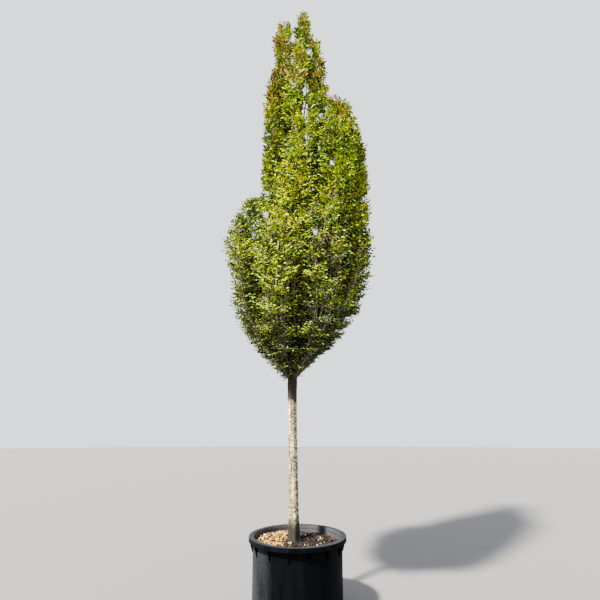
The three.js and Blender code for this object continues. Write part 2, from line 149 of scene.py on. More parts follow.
def mapped_noise(nodes, links, scale, detail, stretch=(1, 1, 1)):
    """A noise pattern fixed to the piece, stretched along its axes."""
    coordinates = nodes.new("ShaderNodeTexCoord")
    mapping = nodes.new("ShaderNodeMapping")
    mapping.inputs["Scale"].default_value = stretch
    pattern = nodes.new("ShaderNodeTexNoise")
    pattern.inputs["Scale"].default_value = scale
    pattern.inputs["Detail"].default_value = detail
    links.new(coordinates.outputs["Object"], mapping.inputs["Vector"])
    links.new(mapping.outputs["Vector"], pattern.inputs["Vector"])
    return pattern.outputs["Fac"]


def graded(nodes, links, fac, stops):
    """Colours along a ramp: stops are (position, (r, g, b)), or (position, grey)."""
    ramp = nodes.new("ShaderNodeValToRGB")
    while len(ramp.color_ramp.elements) < len(stops):
        ramp.color_ramp.elements.new(0.5)
    for element, (position, colour) in zip(ramp.color_ramp.elements, stops):
        element.position = position
        element.color = (*(colour if isinstance(colour, tuple) else (colour,) * 3), 1)
    links.new(fac, ramp.inputs["Fac"])
    return ramp.outputs["Color"]


def blended(nodes, links, fac, low, high, way="MIX"):
    """Mixes two colours, each a socket or (r, g, b), by a factor socket or number."""
    mix = nodes.new("ShaderNodeMix")
    mix.data_type = "RGBA"
    mix.blend_type = way
    for socket, value in ((mix.inputs[0], fac), (mix.inputs[6], low), (mix.inputs[7], high)):
        if isinstance(value, bpy.types.NodeSocket):
            links.new(value, socket)
        else:
            socket.default_value = (*value, 1) if isinstance(value, tuple) else value
    return mix.outputs[2]


def bumped(nodes, links, shader, height, distance, strength=1):
    """Gives the shader a bump from a height pattern; distance is its depth in metres."""
    bump = nodes.new("ShaderNodeBump")
    bump.inputs["Strength"].default_value = strength
    bump.inputs["Distance"].default_value = distance
    links.new(height, bump.inputs["Height"])
    links.new(bump.outputs["Normal"], shader.inputs["Normal"])


def multiplied(nodes, links, first, second, added=None):
    """A factor times another, each a socket or a number, and with a third added where it is given."""
    product = nodes.new("ShaderNodeMath")
    product.operation = "MULTIPLY_ADD" if added else "MULTIPLY"
    for socket, value in zip(product.inputs, (first, second, added)):
        if isinstance(value, bpy.types.NodeSocket):
            links.new(value, socket)
        elif value is not None:
            socket.default_value = value
    return product.outputs[0]


def spanned(nodes, links, value, low, high):
    """A factor that goes from 0 to 1 as a value goes from low to high."""
    span = nodes.new("ShaderNodeMapRange")
    span.inputs["From Min"].default_value = low
    span.inputs["From Max"].default_value = high
    links.new(value, span.inputs["Value"])
    return span.outputs["Result"]


def rising(nodes, links, axis, low, high, source="Object"):
    """A factor that goes from 0 to 1 between two places along an axis of the piece."""
    coordinates = nodes.new("ShaderNodeTexCoord")
    parts = nodes.new("ShaderNodeSeparateXYZ")
    links.new(coordinates.outputs[source], parts.inputs["Vector"])
    return spanned(nodes, links, parts.outputs[axis], low, high)


def dusty_plastic(name, clean, film, side, ledge_dust_and_highlight, inner):
    """Weathered black plastic: a film in vertical runs, and dust on the left side, the ledges and within,
    with a painted sheen on the left, a painted highlight on the ledges and painted light within.
    """
    material, nodes, links, shader = new_material(name, 0.5, PLASTIC_GLOSS)
    runs = mapped_noise(nodes, links, **DUST_RUNS)
    grit = mapped_noise(nodes, links, **GRIT)
    colour = graded(nodes, links, runs, [(0.44, clean), (0.7, film)])
    streaks = graded(nodes, links, runs, [(0.3, 0.35), (0.6, 1)])
    # painted sheen: the left side is paled in runs towards the side colour, dust with a painted sheen
    sheen_and_dust_side = multiplied(nodes, links, rising(nodes, links, 0, *SHEEN_AND_DUST_SIDE), streaks)
    colour = blended(nodes, links, sheen_and_dust_side, colour, side)
    # up-facing ledges are paled: dust, with a painted highlight
    colour = blended(nodes, links, rising(nodes, links, 2, *LEDGE_SLOPES, "Normal"), colour, ledge_dust_and_highlight)
    # inward-facing walls are paled: dust, with painted light
    coordinates = nodes.new("ShaderNodeTexCoord")
    outward = nodes.new("ShaderNodeVectorMath")
    outward.operation = "DOT_PRODUCT"
    links.new(coordinates.outputs["Object"], outward.inputs[0])
    links.new(coordinates.outputs["Normal"], outward.inputs[1])
    within = spanned(nodes, links, outward.outputs["Value"], *INWARD)
    colour = blended(nodes, links, within, colour, inner)
    speckled = graded(nodes, links, grit, [(0.4, 0.7), (0.75, 1.4)])
    links.new(blended(nodes, links, 1.0, colour, speckled, "MULTIPLY"), shader.inputs["Base Color"])
    gloss = graded(nodes, links, runs, [(0.35, 0.42), (0.7, 0.68)])
    links.new(gloss, shader.inputs["Roughness"])
    bumped(nodes, links, shader, grit, GRIT_HEIGHT, 0.5)
    return material


# colours: clean, film, left side with dust and painted sheen, ledges with dust and painted highlight,
# inner walls with dust and painted light
tub_plastic = dusty_plastic(
    "tub_plastic", (0.0025, 0.0035, 0.0047), (0.0053, 0.007, 0.009), (0.05, 0.056, 0.063),
    (0.04, 0.046, 0.052), (0.074, 0.075, 0.08),
)

start_mesh(
    bpy.ops.mesh.primitive_cylinder_add,
    vertices=ROUND_SIDES, radius=BASE_RADIUS, depth=RIM_FOOT, location=(0, 0, RIM_FOOT / 2),
)
pick("vertices", lambda point: point.z > RIM_FOOT / 2)
bpy.ops.transform.resize(value=(TOP_RADIUS / BASE_RADIUS, TOP_RADIUS / BASE_RADIUS, 1))
pick("faces", lambda point: point.z > RIM_FOOT - WALL and point.xy.length < WALL)
bpy.ops.mesh.inset(thickness=WALL)
bpy.ops.mesh.extrude_region_move(TRANSFORM_OT_translate={"value": (0, 0, FLOOR - RIM_FOOT)})
inner_share = (BASE_RADIUS - WALL) / (TOP_RADIUS - WALL)
bpy.ops.transform.resize(value=(inner_share, inner_share, 1))
pick("edges", lambda point: point.z < FLOOR / 2)
bpy.ops.mesh.bevel(offset=FOOT_ROUND, segments=4)
tub = finish_mesh("pot_tub", tub_plastic)
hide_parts("pot")

# Container rim: the tub's wall turns out and down into a deep lip, which stiffens its mouth and is
# what a fork or a strap lifts it by. Handling has rubbed it paler than the wall, and its top edges
# carry a painted highlight.
LIP = 0.0065
LIP_ROUND = 0.0024

# the same order: clean, film, left side with its painted sheen, ledges with their painted highlight, inner
# walls with their painted light
rim_plastic = dusty_plastic(
    "rim_plastic", (0.0026, 0.0034, 0.0042), (0.008, 0.0095, 0.011), (0.0065, 0.0078, 0.009),
    (0.024, 0.027, 0.03), (0.074, 0.075, 0.08),
)

lip_inside = TOP_RADIUS - WALL
lip_drop = POT_HEIGHT - LIP - RIM_FOOT
lip_moves = [
    # outwards and upwards, from the mouth's inner edge round the lip and back under it
    (RIM_RADIUS - lip_inside, 0), (0, RIM_FOOT - POT_HEIGHT), (-LIP, 0), (0, lip_drop),
    (TOP_RADIUS - RIM_RADIUS + LIP, 0), (0, -lip_drop), (-WALL, 0),
]
start_mesh(bpy.ops.mesh.primitive_plane_add, size=WALL, location=(lip_inside, 0, POT_HEIGHT))
pick("vertices", lambda point: True)
bpy.ops.mesh.merge(type="CENTER")
for outward, upward in lip_moves:
    bpy.ops.mesh.extrude_vertices_move(TRANSFORM_OT_translate={"value": (outward, 0, upward)})
bpy.ops.mesh.select_all(action="SELECT")
bpy.ops.mesh.edge_face_add()
bpy.ops.mesh.bevel(affect="VERTICES", offset=LIP_ROUND, segments=3)
bpy.ops.mesh.select_all(action="SELECT")
bpy.ops.mesh.delete(type="ONLY_FACE")
bpy.ops.mesh.select_all(action="SELECT")
bpy.ops.mesh.spin(steps=ROUND_SIDES, angle=math.tau, center=(0, 0, 0), axis=(0, 0, 1))
bpy.ops.mesh.select_all(action="SELECT")
bpy.ops.mesh.remove_doubles(threshold=WELD)
bpy.ops.mesh.normals_make_consistent(inside=False)
rim = finish_mesh("pot_rim", rim_plastic)
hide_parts("pot")

# Container gussets: fifteen thin webs of the same polythene, moulded in one with tub and lip. They
# stand between the wall and the lip, and carry it when the container is lifted.
GUSSET_COUNT = 15
GUSSET_LENGTH = 0.085
GUSSET_THICKNESS = 0.0045
GUSSET_TOE = 0.003
GUSSET_ROUND = 0.0009
GUSSET_TURN = math.radians(4)

start_mesh(bpy.ops.mesh.primitive_cube_add, size=1)
bpy.ops.mesh.select_all(action="SELECT")
gusset_inside = TOP_RADIUS - WALL / 2
gusset_outside = RIM_RADIUS - LIP
gusset_size = (gusset_outside - gusset_inside, GUSSET_THICKNESS, GUSSET_LENGTH + LIP_ROUND)
gusset_x = (gusset_outside + gusset_inside) / 2
gusset_z = RIM_FOOT - (GUSSET_LENGTH - LIP_ROUND) / 2
bpy.ops.transform.resize(value=gusset_size)
bpy.ops.transform.translate(value=(gusset_x, 0, gusset_z))
pick("vertices", lambda point: point.x > gusset_x and point.z < gusset_z)
bpy.ops.transform.translate(value=(TOP_RADIUS + GUSSET_TOE - gusset_outside, 0, 0))
pick("edges", lambda point: abs(point.z - gusset_z) < GUSSET_LENGTH / 4)
bpy.ops.mesh.bevel(offset=GUSSET_ROUND, segments=2)
bpy.ops.mesh.select_all(action="SELECT")
bpy.ops.transform.rotate(value=GUSSET_TURN, orient_axis="Z", center_override=(0, 0, 0))
bpy.ops.mesh.spin(steps=GUSSET_COUNT, dupli=True, angle=math.tau, center=(0, 0, 0), axis=(0, 0, 1))
bpy.ops.mesh.select_all(action="SELECT")
bpy.ops.mesh.remove_doubles(threshold=WELD)
gussets = finish_mesh("pot_gussets", rim_plastic)
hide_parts("pot")

# Filling: dark composted bark that the tree grows in. It is firmed in by hand, sunk a little at the
# wall and heaped behind the stem.
SOIL_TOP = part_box("soil")[1].z
SOIL_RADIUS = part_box("soil")[1].x
SOIL_RINGS = 14
SOIL_RELIEF = 0.007
SOIL_RELIEF_SCALE = 23
SOIL_FOOT_SHARE = 0.998
SOIL_SINK = 0.012
SOIL_SINK_POWER = 4
MOUND_HEIGHT = 0.03
MOUND_MIDDLE = (-0.16, 0.16)
MOUND_RADIUS = 0.19
CRUMBS = {"scale": 60, "detail": 6}
CRUMB_COLOURS = [(0.35, (0.006, 0.0035, 0.0025)), (0.7, (0.035, 0.018, 0.01))]
CRUMB_HEIGHT = 0.006


def grained(name, roughness, grain, stops, surface, height, strength=1, gloss=0.5):
    """A material in the colours of one pattern, with its surface raised by another."""
    material, nodes, links, shader = new_material(name, roughness, gloss)
    colour = graded(nodes, links, mapped_noise(nodes, links, **grain), stops)
    links.new(colour, shader.inputs["Base Color"])
    bumped(nodes, links, shader, mapped_noise(nodes, links, **surface), height, strength)
    return material


def filling_rise(x, y):
    """How far the filling stands above its mean top: sunk at the wall, and heaped behind the stem."""
    sunk = SOIL_SINK * (math.hypot(x, y) / SOIL_RADIUS) ** SOIL_SINK_POWER
    off = math.hypot(x - MOUND_MIDDLE[0], y - MOUND_MIDDLE[1]) / MOUND_RADIUS
    return MOUND_HEIGHT * math.exp(-off ** 2) - sunk


compost = grained("compost", 0.95, CRUMBS, CRUMB_COLOURS, CRUMBS, CRUMB_HEIGHT)

start_mesh(
    bpy.ops.mesh.primitive_cylinder_add,
    vertices=ROUND_SIDES, radius=SOIL_RADIUS, depth=SOIL_TOP - FLOOR,
    location=(0, 0, (SOIL_TOP + FLOOR) / 2),
)
pick("vertices", lambda point: point.z < SOIL_TOP / 2)
foot_share = (BASE_RADIUS - WALL) / SOIL_RADIUS * SOIL_FOOT_SHARE
bpy.ops.transform.resize(value=(foot_share, foot_share, 1))
pick("faces", lambda point: point.z > SOIL_TOP - WALL)
for _ in range(SOIL_RINGS):
    bpy.ops.mesh.inset(thickness=SOIL_RADIUS / (SOIL_RINGS + 1))
soil = finish_mesh("soil_filling", compost, smooth=80)
for vertex in soil.data.vertices:
    if vertex.co.z > SOIL_TOP - WALL:
        relief = noise.noise(vertex.co * SOIL_RELIEF_SCALE) * SOIL_RELIEF
        vertex.co.z += relief + filling_rise(*vertex.co.xy)
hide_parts("soil")

# Mulch: chips of pine bark, split flat along their layers, thrown on by hand. Fresh faces are straw
# coloured or cream and weathered ones brown. They lie at all angles, with the dark rest between. The
# pale chips crowd the left, partly painted sunlight, and the darkened brown ones the right, partly
# painted shade.
CHIP_COUNT = 3300
CHIP_LENGTHS = (0.011, 0.038)
CHIP_HEAP = 0.016
CHIP_TILT = 0.55
CHIP_WALL_GAP = 0.02
CHIP_LENGTH_POWER = 1.6
CHIP_WIDTHS = (0.35, 0.7)
CHIP_THICKNESSES = (0.1, 0.22)
CHIP_WOBBLE = 0.11
CHIP_SEED = 7
CHIP_GRAIN = {"scale": 45, "detail": 5}
CHIP_BREAKS = {"scale": 160, "detail": 3}
CHIP_BREAK_HEIGHT = 0.0015
# where the mix turns from the left's to the right's: the pale left is partly painted sunlight, and the
# dark right partly painted shade, over the chips' own colours
CHIP_TURN = (-0.4, -0.08)
CHIP_BLENDS = {
    # share of the chips at the left of the pot, and at the right
    "straw": (0.54, 0.012), "cream": (0.16, 0.008), "tan": (0.12, 0.08), "shaded_brown": (0.18, 0.9),
}
CHIP_STOPS = (0.3, 0.68)
CHIP_COLOURS = {
    # the dark and the pale of the grain, at those stops
    "straw": ((0.1, 0.048, 0.008), (0.66, 0.4, 0.085)),
    "cream": ((0.16, 0.115, 0.07), (0.68, 0.57, 0.4)),
    "tan": ((0.045, 0.019, 0.009), (0.17, 0.078, 0.036)),
    "shaded_brown": ((0.0045, 0.0027, 0.0021), (0.0125, 0.0072, 0.0055)),
}
CHIP_CORNERS = np.array([
    [-0.5, -0.32, 0], [0.42, -0.5, 0.1], [0.5, 0.3, 0], [-0.38, 0.5, 0.08],
    [-0.42, -0.26, 1], [0.36, -0.4, 0.85], [0.42, 0.24, 1.1], [-0.3, 0.4, 0.9], [0.05, 0.02, 1.35],
])
CHIP_FACES = np.array([
    [0, 2, 1], [0, 3, 2], [0, 1, 5], [0, 5, 4], [1, 2, 6], [1, 6, 5], [2, 3, 7], [2, 7, 6],
    [3, 0, 4], [3, 4, 7], [4, 5, 8], [5, 6, 8], [6, 7, 8], [7, 4, 8],
])


def random_stream(seed):
    """Seeded numbers from 0 to 1, the same each run."""
    factor, step, size = 1664525, 1013904223, 2 ** 32
    state = seed
    while True:
        state = (state * factor + step) % size
        yield state / size


def between(ends, share):
    """The value a share of the way from the first of two to the second."""
    return ends[0] + (ends[1] - ends[0]) * share


def mesh_piece(name, vertices, triangles, material, smooth=False):
    """A piece from arrays: corners in metres, and triangles by the corners' numbers."""
    mesh = bpy.data.meshes.new(name)
    mesh.vertices.add(len(vertices))
    mesh.vertices.foreach_set("co", vertices.astype(np.float32).ravel())
    mesh.loops.add(triangles.size)
    mesh.loops.foreach_set("vertex_index", triangles.astype(np.int32).ravel())
    mesh.polygons.add(len(triangles))
    mesh.polygons.foreach_set("loop_start", np.arange(0, triangles.size, 3, dtype=np.int32))
    mesh.polygons.foreach_set("use_smooth", np.full(len(triangles), smooth))
    mesh.materials.append(material)
    mesh.update(calc_edges=True)
    piece = bpy.data.objects.new(name, mesh)
    bpy.context.scene.collection.objects.link(piece)
    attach(piece, "root")
    return piece


draw = random_stream(CHIP_SEED)
chips = {name: [] for name in CHIP_BLENDS}
for _ in range(CHIP_COUNT):
    off = (SOIL_RADIUS - CHIP_WALL_GAP) * math.sqrt(next(draw))
    angle = math.tau * next(draw)
    length = between(CHIP_LENGTHS, next(draw) ** CHIP_LENGTH_POWER)
    width = length * between(CHIP_WIDTHS, next(draw))
    thickness = length * between(CHIP_THICKNESSES, next(draw))
    turn = Matrix.Rotation(math.tau * next(draw), 3, "Z")
    for axis in "XY":
        turn = turn @ Matrix.Rotation(CHIP_TILT * (next(draw) - 0.5) * 2, 3, axis)
    x, y = off * math.cos(angle), off * math.sin(angle)
    place = np.array([x, y, SOIL_TOP + filling_rise(x, y) + CHIP_HEAP * next(draw)])
    choice = next(draw)
    for name, shares in CHIP_BLENDS.items():
        choice -= np.interp(place[0] / SOIL_RADIUS, CHIP_TURN, shares)
        if choice < 0:
            break
    wobble = CHIP_WOBBLE * (2 * np.array([[next(draw) for _ in range(3)] for _ in CHIP_CORNERS]) - 1)
    size = np.array([length, width, thickness])
    chips[name].append((CHIP_CORNERS + wobble) * size @ np.array(turn).T + place)
for name, shapes in chips.items():
    steps = np.arange(len(shapes))[:, None, None] * len(CHIP_CORNERS)
    faces = (CHIP_FACES[None] + steps).reshape(-1, 3)
    stops = list(zip(CHIP_STOPS, CHIP_COLOURS[name]))
    bark = grained(f"bark_chip_{name}", 0.85, CHIP_GRAIN, stops, CHIP_BREAKS, CHIP_BREAK_HEIGHT)
    mulch = mesh_piece(f"mulch_{name}", np.concatenate(shapes), faces, bark)
    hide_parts("soil")

# Trunk: the straight stem of a young hornbeam, from a lobed foot on the soil far up into the crown.
# Its bark is smooth and grey-beige, with shallow flutes, one groove and white crusts of lichen. The
# groove is painted dark with shade, the top under the crown carries painted shade, and the foot is darker.
BOLE_TOP = 1.62
TRUNK_STATIONS = [
    # height above the soil, radius
    (0, 0.065), (0.04, 0.059), (0.11, 0.0545), (0.25, 0.0503), (0.81, 0.046), (1.2, 0.0465),
    (1.42, 0.0515), (BOLE_TOP, 0.047), (2, 0.04), (2.7, 0.034), (3.5, 0.028), (4.5, 0.021),
    (5.6, 0.013),
]
TREE_HEIGHT = 7.96
TRUNK_FOOT_X = -0.036
TRUNK_KNEE_X = -0.063
CLEAR_STEM = 1.4
LEADER_TOP_X = 0.09
LEADER_SWAY = 0.016
LEADER_SWAY_LENGTH = 2.3
FLARE_LOBES = 5
FLARE_DEPTH = 0.09
FLARE_HEIGHT = 0.15
FLUTE_COUNT = 3
FLUTE_DEPTH = 0.035
TRUNK_SIDES = 72
FINE_RING = 0.012
COARSE_RING = 0.06
GROOVE_ANGLE = math.radians(-44)
GROOVE_WANDER = 0.2
GROOVE_WANDER_RATE = 2.6
GROOVE_WANDER_START = 0.6
GROOVE_WIDTH = 0.48
GROOVE_DEPTH = 0.09
BARK_RELIEF = 0.0018
RIDGE_SCALE = (46, 46, 9)
KNOT_SCALE = (20, 20, 14)
BARK_STREAKS = {"scale": 34, "detail": 5, "stretch": (1, 1, 0.12)}
BARK_MARKS = {"scale": 48, "detail": 4, "stretch": (0.45, 0.45, 1.3)}
BARK_BLOTCHES = {"scale": 9, "detail": 4, "stretch": (1, 1, 0.5)}
BARK_CRACKS = {"scale": 110, "detail": 6, "stretch": (1, 1, 0.3)}
CRACK_HEIGHT = 0.003
LICHEN_CRUSTS = {"scale": 70, "detail": 4, "stretch": (0.55, 0.55, 1.5)}
LICHEN_COLOUR = (0.7, 0.7, 0.63)
# the ragged edge of the darkened lengths, where painted shade meets the lit bark
DARKENING_RAGS = {"scale": 26, "detail": 3, "stretch": (1, 1, 0.4)}
DARKENING_EDGE = 0.12
TRUNK_DARKENING = [
    # height, share of the darkening colour: darker at the foot, and painted shade at the top under the
    # crown
    (0.5, 1), (0.61, 0.98), (0.65, 0.88), (0.71, 0.08), (1.72, 0), (1.76, 0.93), (1.95, 0.97),
]


def trunk_centre(height):
    """The trunk's line: it leans a little to the left up to the crown, then back to the right."""
    x = np.interp(height, (0, CLEAR_STEM, TREE_HEIGHT), (TRUNK_FOOT_X, TRUNK_KNEE_X, LEADER_TOP_X))
    y = LEADER_SWAY * math.sin(math.tau * height / LEADER_SWAY_LENGTH)
    return np.array([x, y, SOIL_TOP + height])


def groove_at(angle, height):
    """How deep in the groove a point lies, from 0 to 1. The groove winds a little as it climbs."""
    winding = math.sin(height * GROOVE_WANDER_RATE + GROOVE_WANDER_START)
    middle = GROOVE_ANGLE + GROOVE_WANDER * winding
    apart = (angle - middle + math.pi) % math.tau - math.pi
    return math.exp(-(apart / GROOVE_WIDTH) ** 2)


def bark_wave(point):
    """The bark's relief at a point: ridges that run up the limb, and rounder knots between them."""
    return sum(
        noise.noise(Vector(place * stretch for place, stretch in zip(point, scale)))
        for scale in (RIDGE_SCALE, KNOT_SCALE)
    )


def hornbeam_bark(name, shadow, mid, pale, lichen, darkening, darkening_stops, shade_in_groove=False):
    """Smooth bark: streaks up the stem, short marks across it, lichen crusts, and darkened lengths, which
    are painted shade under the crown and a darker foot on the trunk.
    """
    material, nodes, links, shader = new_material(name, 0.82)
    streaks = mapped_noise(nodes, links, **BARK_STREAKS)
    colour = graded(nodes, links, streaks, [(0.34, shadow), (0.5, mid), (0.64, pale)])
    marks = mapped_noise(nodes, links, **BARK_MARKS)
    marks = graded(nodes, links, marks, [(0.42, (0.46, 0.43, 0.38)), (0.6, (1.25, 1.22, 1.16))])
    colour = blended(nodes, links, 1.0, colour, marks, "MULTIPLY")
    blotches = mapped_noise(nodes, links, **BARK_BLOTCHES)
    blotches = graded(nodes, links, blotches, [(0.38, (0.8, 0.84, 0.72)), (0.62, (1.12, 1.08, 1.0))])
    colour = blended(nodes, links, 0.8, colour, blotches, "MULTIPLY")
    # painted shade: the groove, which faces the right and the front, is blended to the shadow colour
    if shade_in_groove:
        groove = nodes.new("ShaderNodeAttribute")
        groove.attribute_name = "groove"
        colour = blended(nodes, links, groove.outputs["Fac"], colour, shadow)
    crusts = graded(nodes, links, mapped_noise(nodes, links, **LICHEN_CRUSTS), [(0.55, 0), (0.6, 1)])
    crusted = multiplied(nodes, links, crusts, rising(nodes, links, 0, *lichen))
    colour = blended(nodes, links, crusted, colour, LICHEN_COLOUR)
    # painted shade: lengths that the crown shades are blended to the darkening colour, with a ragged edge;
    # the same blend darkens the trunk's foot
    low, high = darkening_stops[0][0], darkening_stops[-1][0]
    climb = rising(nodes, links, 2, low + DARKENING_EDGE / 2, high + DARKENING_EDGE / 2)
    rags = mapped_noise(nodes, links, **DARKENING_RAGS)
    ragged = multiplied(nodes, links, rags, DARKENING_EDGE / (high - low), climb)
    stops = [((height - low) / (high - low), share) for height, share in darkening_stops]
    colour = blended(nodes, links, graded(nodes, links, ragged, stops), colour, darkening)
    links.new(colour, shader.inputs["Base Color"])
    bumped(nodes, links, shader, mapped_noise(nodes, links, **BARK_CRACKS), CRACK_HEIGHT)
    return material


# the trunk: darker at the foot, and painted shade on the top of the stem under the crown
trunk_bark = hornbeam_bark(
    "trunk_bark", (0.07, 0.056, 0.034), (0.43, 0.375, 0.225), (0.7, 0.62, 0.4), (-0.06, -0.025),
    (0.014, 0.012, 0.0078), TRUNK_DARKENING, shade_in_groove=True,
)
station_heights, station_radii = np.array(TRUNK_STATIONS).T
rings = np.concatenate([
    np.arange(0, BOLE_TOP, FINE_RING), np.arange(BOLE_TOP, station_heights[-1], COARSE_RING),
    station_heights[-1:],
])
ring_radii = np.interp(rings, station_heights, station_radii)
start_mesh(
    bpy.ops.mesh.primitive_circle_add,
    vertices=TRUNK_SIDES, radius=ring_radii[0], fill_type="NGON", location=trunk_centre(0),
)
bpy.ops.mesh.select_all(action="SELECT")
for below, above in zip(range(len(rings)), range(1, len(rings))):
    centre = trunk_centre(rings[above])
    rise = centre - trunk_centre(rings[below])
    swell = ring_radii[above] / ring_radii[below]
    bpy.ops.mesh.extrude_region_move(TRANSFORM_OT_translate={"value": rise})
    bpy.ops.transform.resize(value=(swell, swell, 1), center_override=centre)
bpy.ops.mesh.select_all(action="SELECT")
bpy.ops.mesh.normals_make_consistent(inside=False)
trunk = finish_mesh("trunk_stem", trunk_bark, smooth=80)
grooves = []
for vertex in trunk.data.vertices:
    height = vertex.co.z - SOIL_TOP
    centre = Vector(trunk_centre(height))
    out = vertex.co - centre
    angle = math.atan2(out.y, out.x)
    groove = groove_at(angle, height)
    section = 1 + FLARE_DEPTH * math.cos(FLARE_LOBES * angle) * math.exp(-height / FLARE_HEIGHT)
    section += FLUTE_DEPTH * math.cos(FLUTE_COUNT * angle) - GROOVE_DEPTH * groove
    vertex.co = centre + out * section + out.normalized() * BARK_RELIEF * bark_wave(vertex.co)
    grooves.append(groove)
trunk.data.attributes.new("groove", "FLOAT", "POINT").data.foreach_set("value", grooves)
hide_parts("trunk")

# Boughs: each is one steep limb that leaves the trunk, turns up and tapers out through its plume
# of leaves, and the leader carries the trunk on to the tip. Heading is in degrees from the viewer's
# right towards the back, bare share a part of the limb's length, and the rest in metres.
Limb = namedtuple("Limb", "name tier heading fork top reach girth bare")
LIMB_SIZES = {
    # heading, height of the fork, height of the top, reach, girth of the mass, bare share
    "lower": [
        (184, 1.53, 3.88, 0.64, 0.24, 0.1), (205, 1.47, 3.33, 0.76, 0.235, 0.1),
        (250, 1.54, 3.25, 0.62, 0.25, 0.1), (300, 1.48, 3.4, 0.7, 0.26, 0.1),
        (344, 1.54, 3.45, 0.8, 0.25, 0.1), (24, 1.49, 3.65, 0.79, 0.25, 0.1),
        (74, 1.55, 3.5, 0.74, 0.26, 0.1), (128, 1.48, 3.6, 0.73, 0.26, 0.1),
    ],
    "middle": [
        (220, 2.0, 4.75, 0.37, 0.2, 0.15), (268, 1.9, 4.35, 0.47, 0.23, 0.15),
        (318, 2.1, 4.8, 0.6, 0.24, 0.15), (3, 1.95, 4.9, 0.8, 0.23, 0.15),
        (50, 2.2, 5.2, 0.68, 0.24, 0.15), (96, 2.0, 4.8, 0.6, 0.24, 0.15),
        (150, 2.15, 5.05, 0.38, 0.21, 0.15),
    ],
    "upper": [
        (190, 2.8, 6.26, 0.39, 0.19, 0.2), (338, 2.65, 5.83, 0.6, 0.23, 0.2),
        (22, 2.5, 5.65, 0.83, 0.22, 0.2), (105, 3.0, 6.05, 0.4, 0.21, 0.2),
        (292, 2.9, 5.45, 0.3, 0.21, 0.2),
    ],
    "top": [
        (165, 4.05, 7.72, 0.35, 0.165, 0.25), (338, 3.7, 7.18, 0.25, 0.17, 0.27),
        (245, 3.9, 6.75, 0.2, 0.17, 0.27), (80, 4.2, 6.9, 0.22, 0.17, 0.27),
    ],
}
LIMBS = [
    Limb(f"{tier}_{number}", tier, *sizes)
    for tier, rows in LIMB_SIZES.items() for number, sizes in enumerate(rows, 1)
]
LEADER_GIRTH = 0.17
LOWEST_FORK = 1.47
HIGHEST_FORK = 4.2
FORK_ANGLES = (50, 24)
LIMB_SWAY = 0.045
SWAY_PHASE = 1000
BOUGH_ROOT_SHARE = 0.0072
BOUGH_ROOT_LEAST = 0.014
LIMB_TIP_RADIUS = 0.005
SHOOT_TIP_RADIUS = 0.0018
LIMB_TAPER_POWER = 0.8
LIMB_ROUNDNESS = 2
BOUGH_RELIEF = BARK_RELIEF / 2
LIMB_STEPS = 60
BARE_STEPS = 3
COLLAR = 0.7
COLLAR_LENGTH = 0.07
TIP_CLEARANCE = 0.03
STEM_STEPS = 7

SHOULDER_TOPS = {
    # where the crown has its shoulder, two limbs end below the tops of their masses
    "upper_2": 5.5, "upper_3": 5.4,
}
LEAF_SPRAY = 0.355
SPRAY_SIZE_LEAST = 0.82
GROWTH = {
    # tier: length of stem to each twig, how far twigs crowd down the stem, size of a spray
    "lower": (0.222, 1.45, 0.94),
    "middle": (0.275, 1.1, 1.0),
    "upper": (0.275, 1.0, 0.95),
    "top": (0.285, 0.9, 0.8),
    "leader": (0.24, 0.9, 0.76),
}


def limb_point(limb, share):
    """A limb's line, from its fork at 0 to the tip of its mass at 1."""
    fork_angle = math.radians(np.interp(limb.fork, (LOWEST_FORK, HIGHEST_FORK), FORK_ANGLES))
    climb = limb.top - limb.fork
    off = limb.reach * (1 - (1 - share) ** (math.tan(fork_angle) * climb / limb.reach))
    turn = math.radians(limb.heading)
    sway = math.sin(math.tau * share) * math.sin(limb.heading + SWAY_PHASE * limb.fork) * LIMB_SWAY
    point = trunk_centre(limb.fork + climb * share)
    point[0] += off * math.cos(turn) - sway * math.sin(turn)
    point[1] += off * math.sin(turn) + sway * math.cos(turn)
    return point


def limb_radius(limb, share):
    """A limb's radius, which tapers from its fork at 0 to the tip at 1."""
    root = max(BOUGH_ROOT_LEAST, (limb.top - limb.fork) * BOUGH_ROOT_SHARE)
    return between((root, LIMB_TIP_RADIUS), share ** LIMB_TAPER_POWER)


# the boughs: painted shade from the fork to about half a metre above it, where the crown shades them
bough_bark = hornbeam_bark(
    "bough_bark", (0.09, 0.075, 0.05), (0.33, 0.28, 0.195), (0.6, 0.53, 0.39), (-0.5, 1.5),
    (0.035, 0.03, 0.019), [(1.97, 1), (2.5, 0)],
)
bpy.ops.object.select_all(action="DESELECT")
bpy.ops.curve.primitive_bezier_curve_add()
boughs = bpy.context.object
boughs.data.splines.clear()
boughs.data.bevel_depth = 1
boughs.data.bevel_resolution = LIMB_ROUNDNESS
boughs.data.use_fill_caps = True


def draw_limb(line, radii):
    """Adds a round, tapering limb to the boughs."""
    limb_line = boughs.data.splines.new("POLY")
    limb_line.points.add(len(line) - 1)
    for point, place, radius in zip(limb_line.points, line, radii):
        point.co = (*place, 1)
        point.radius = radius


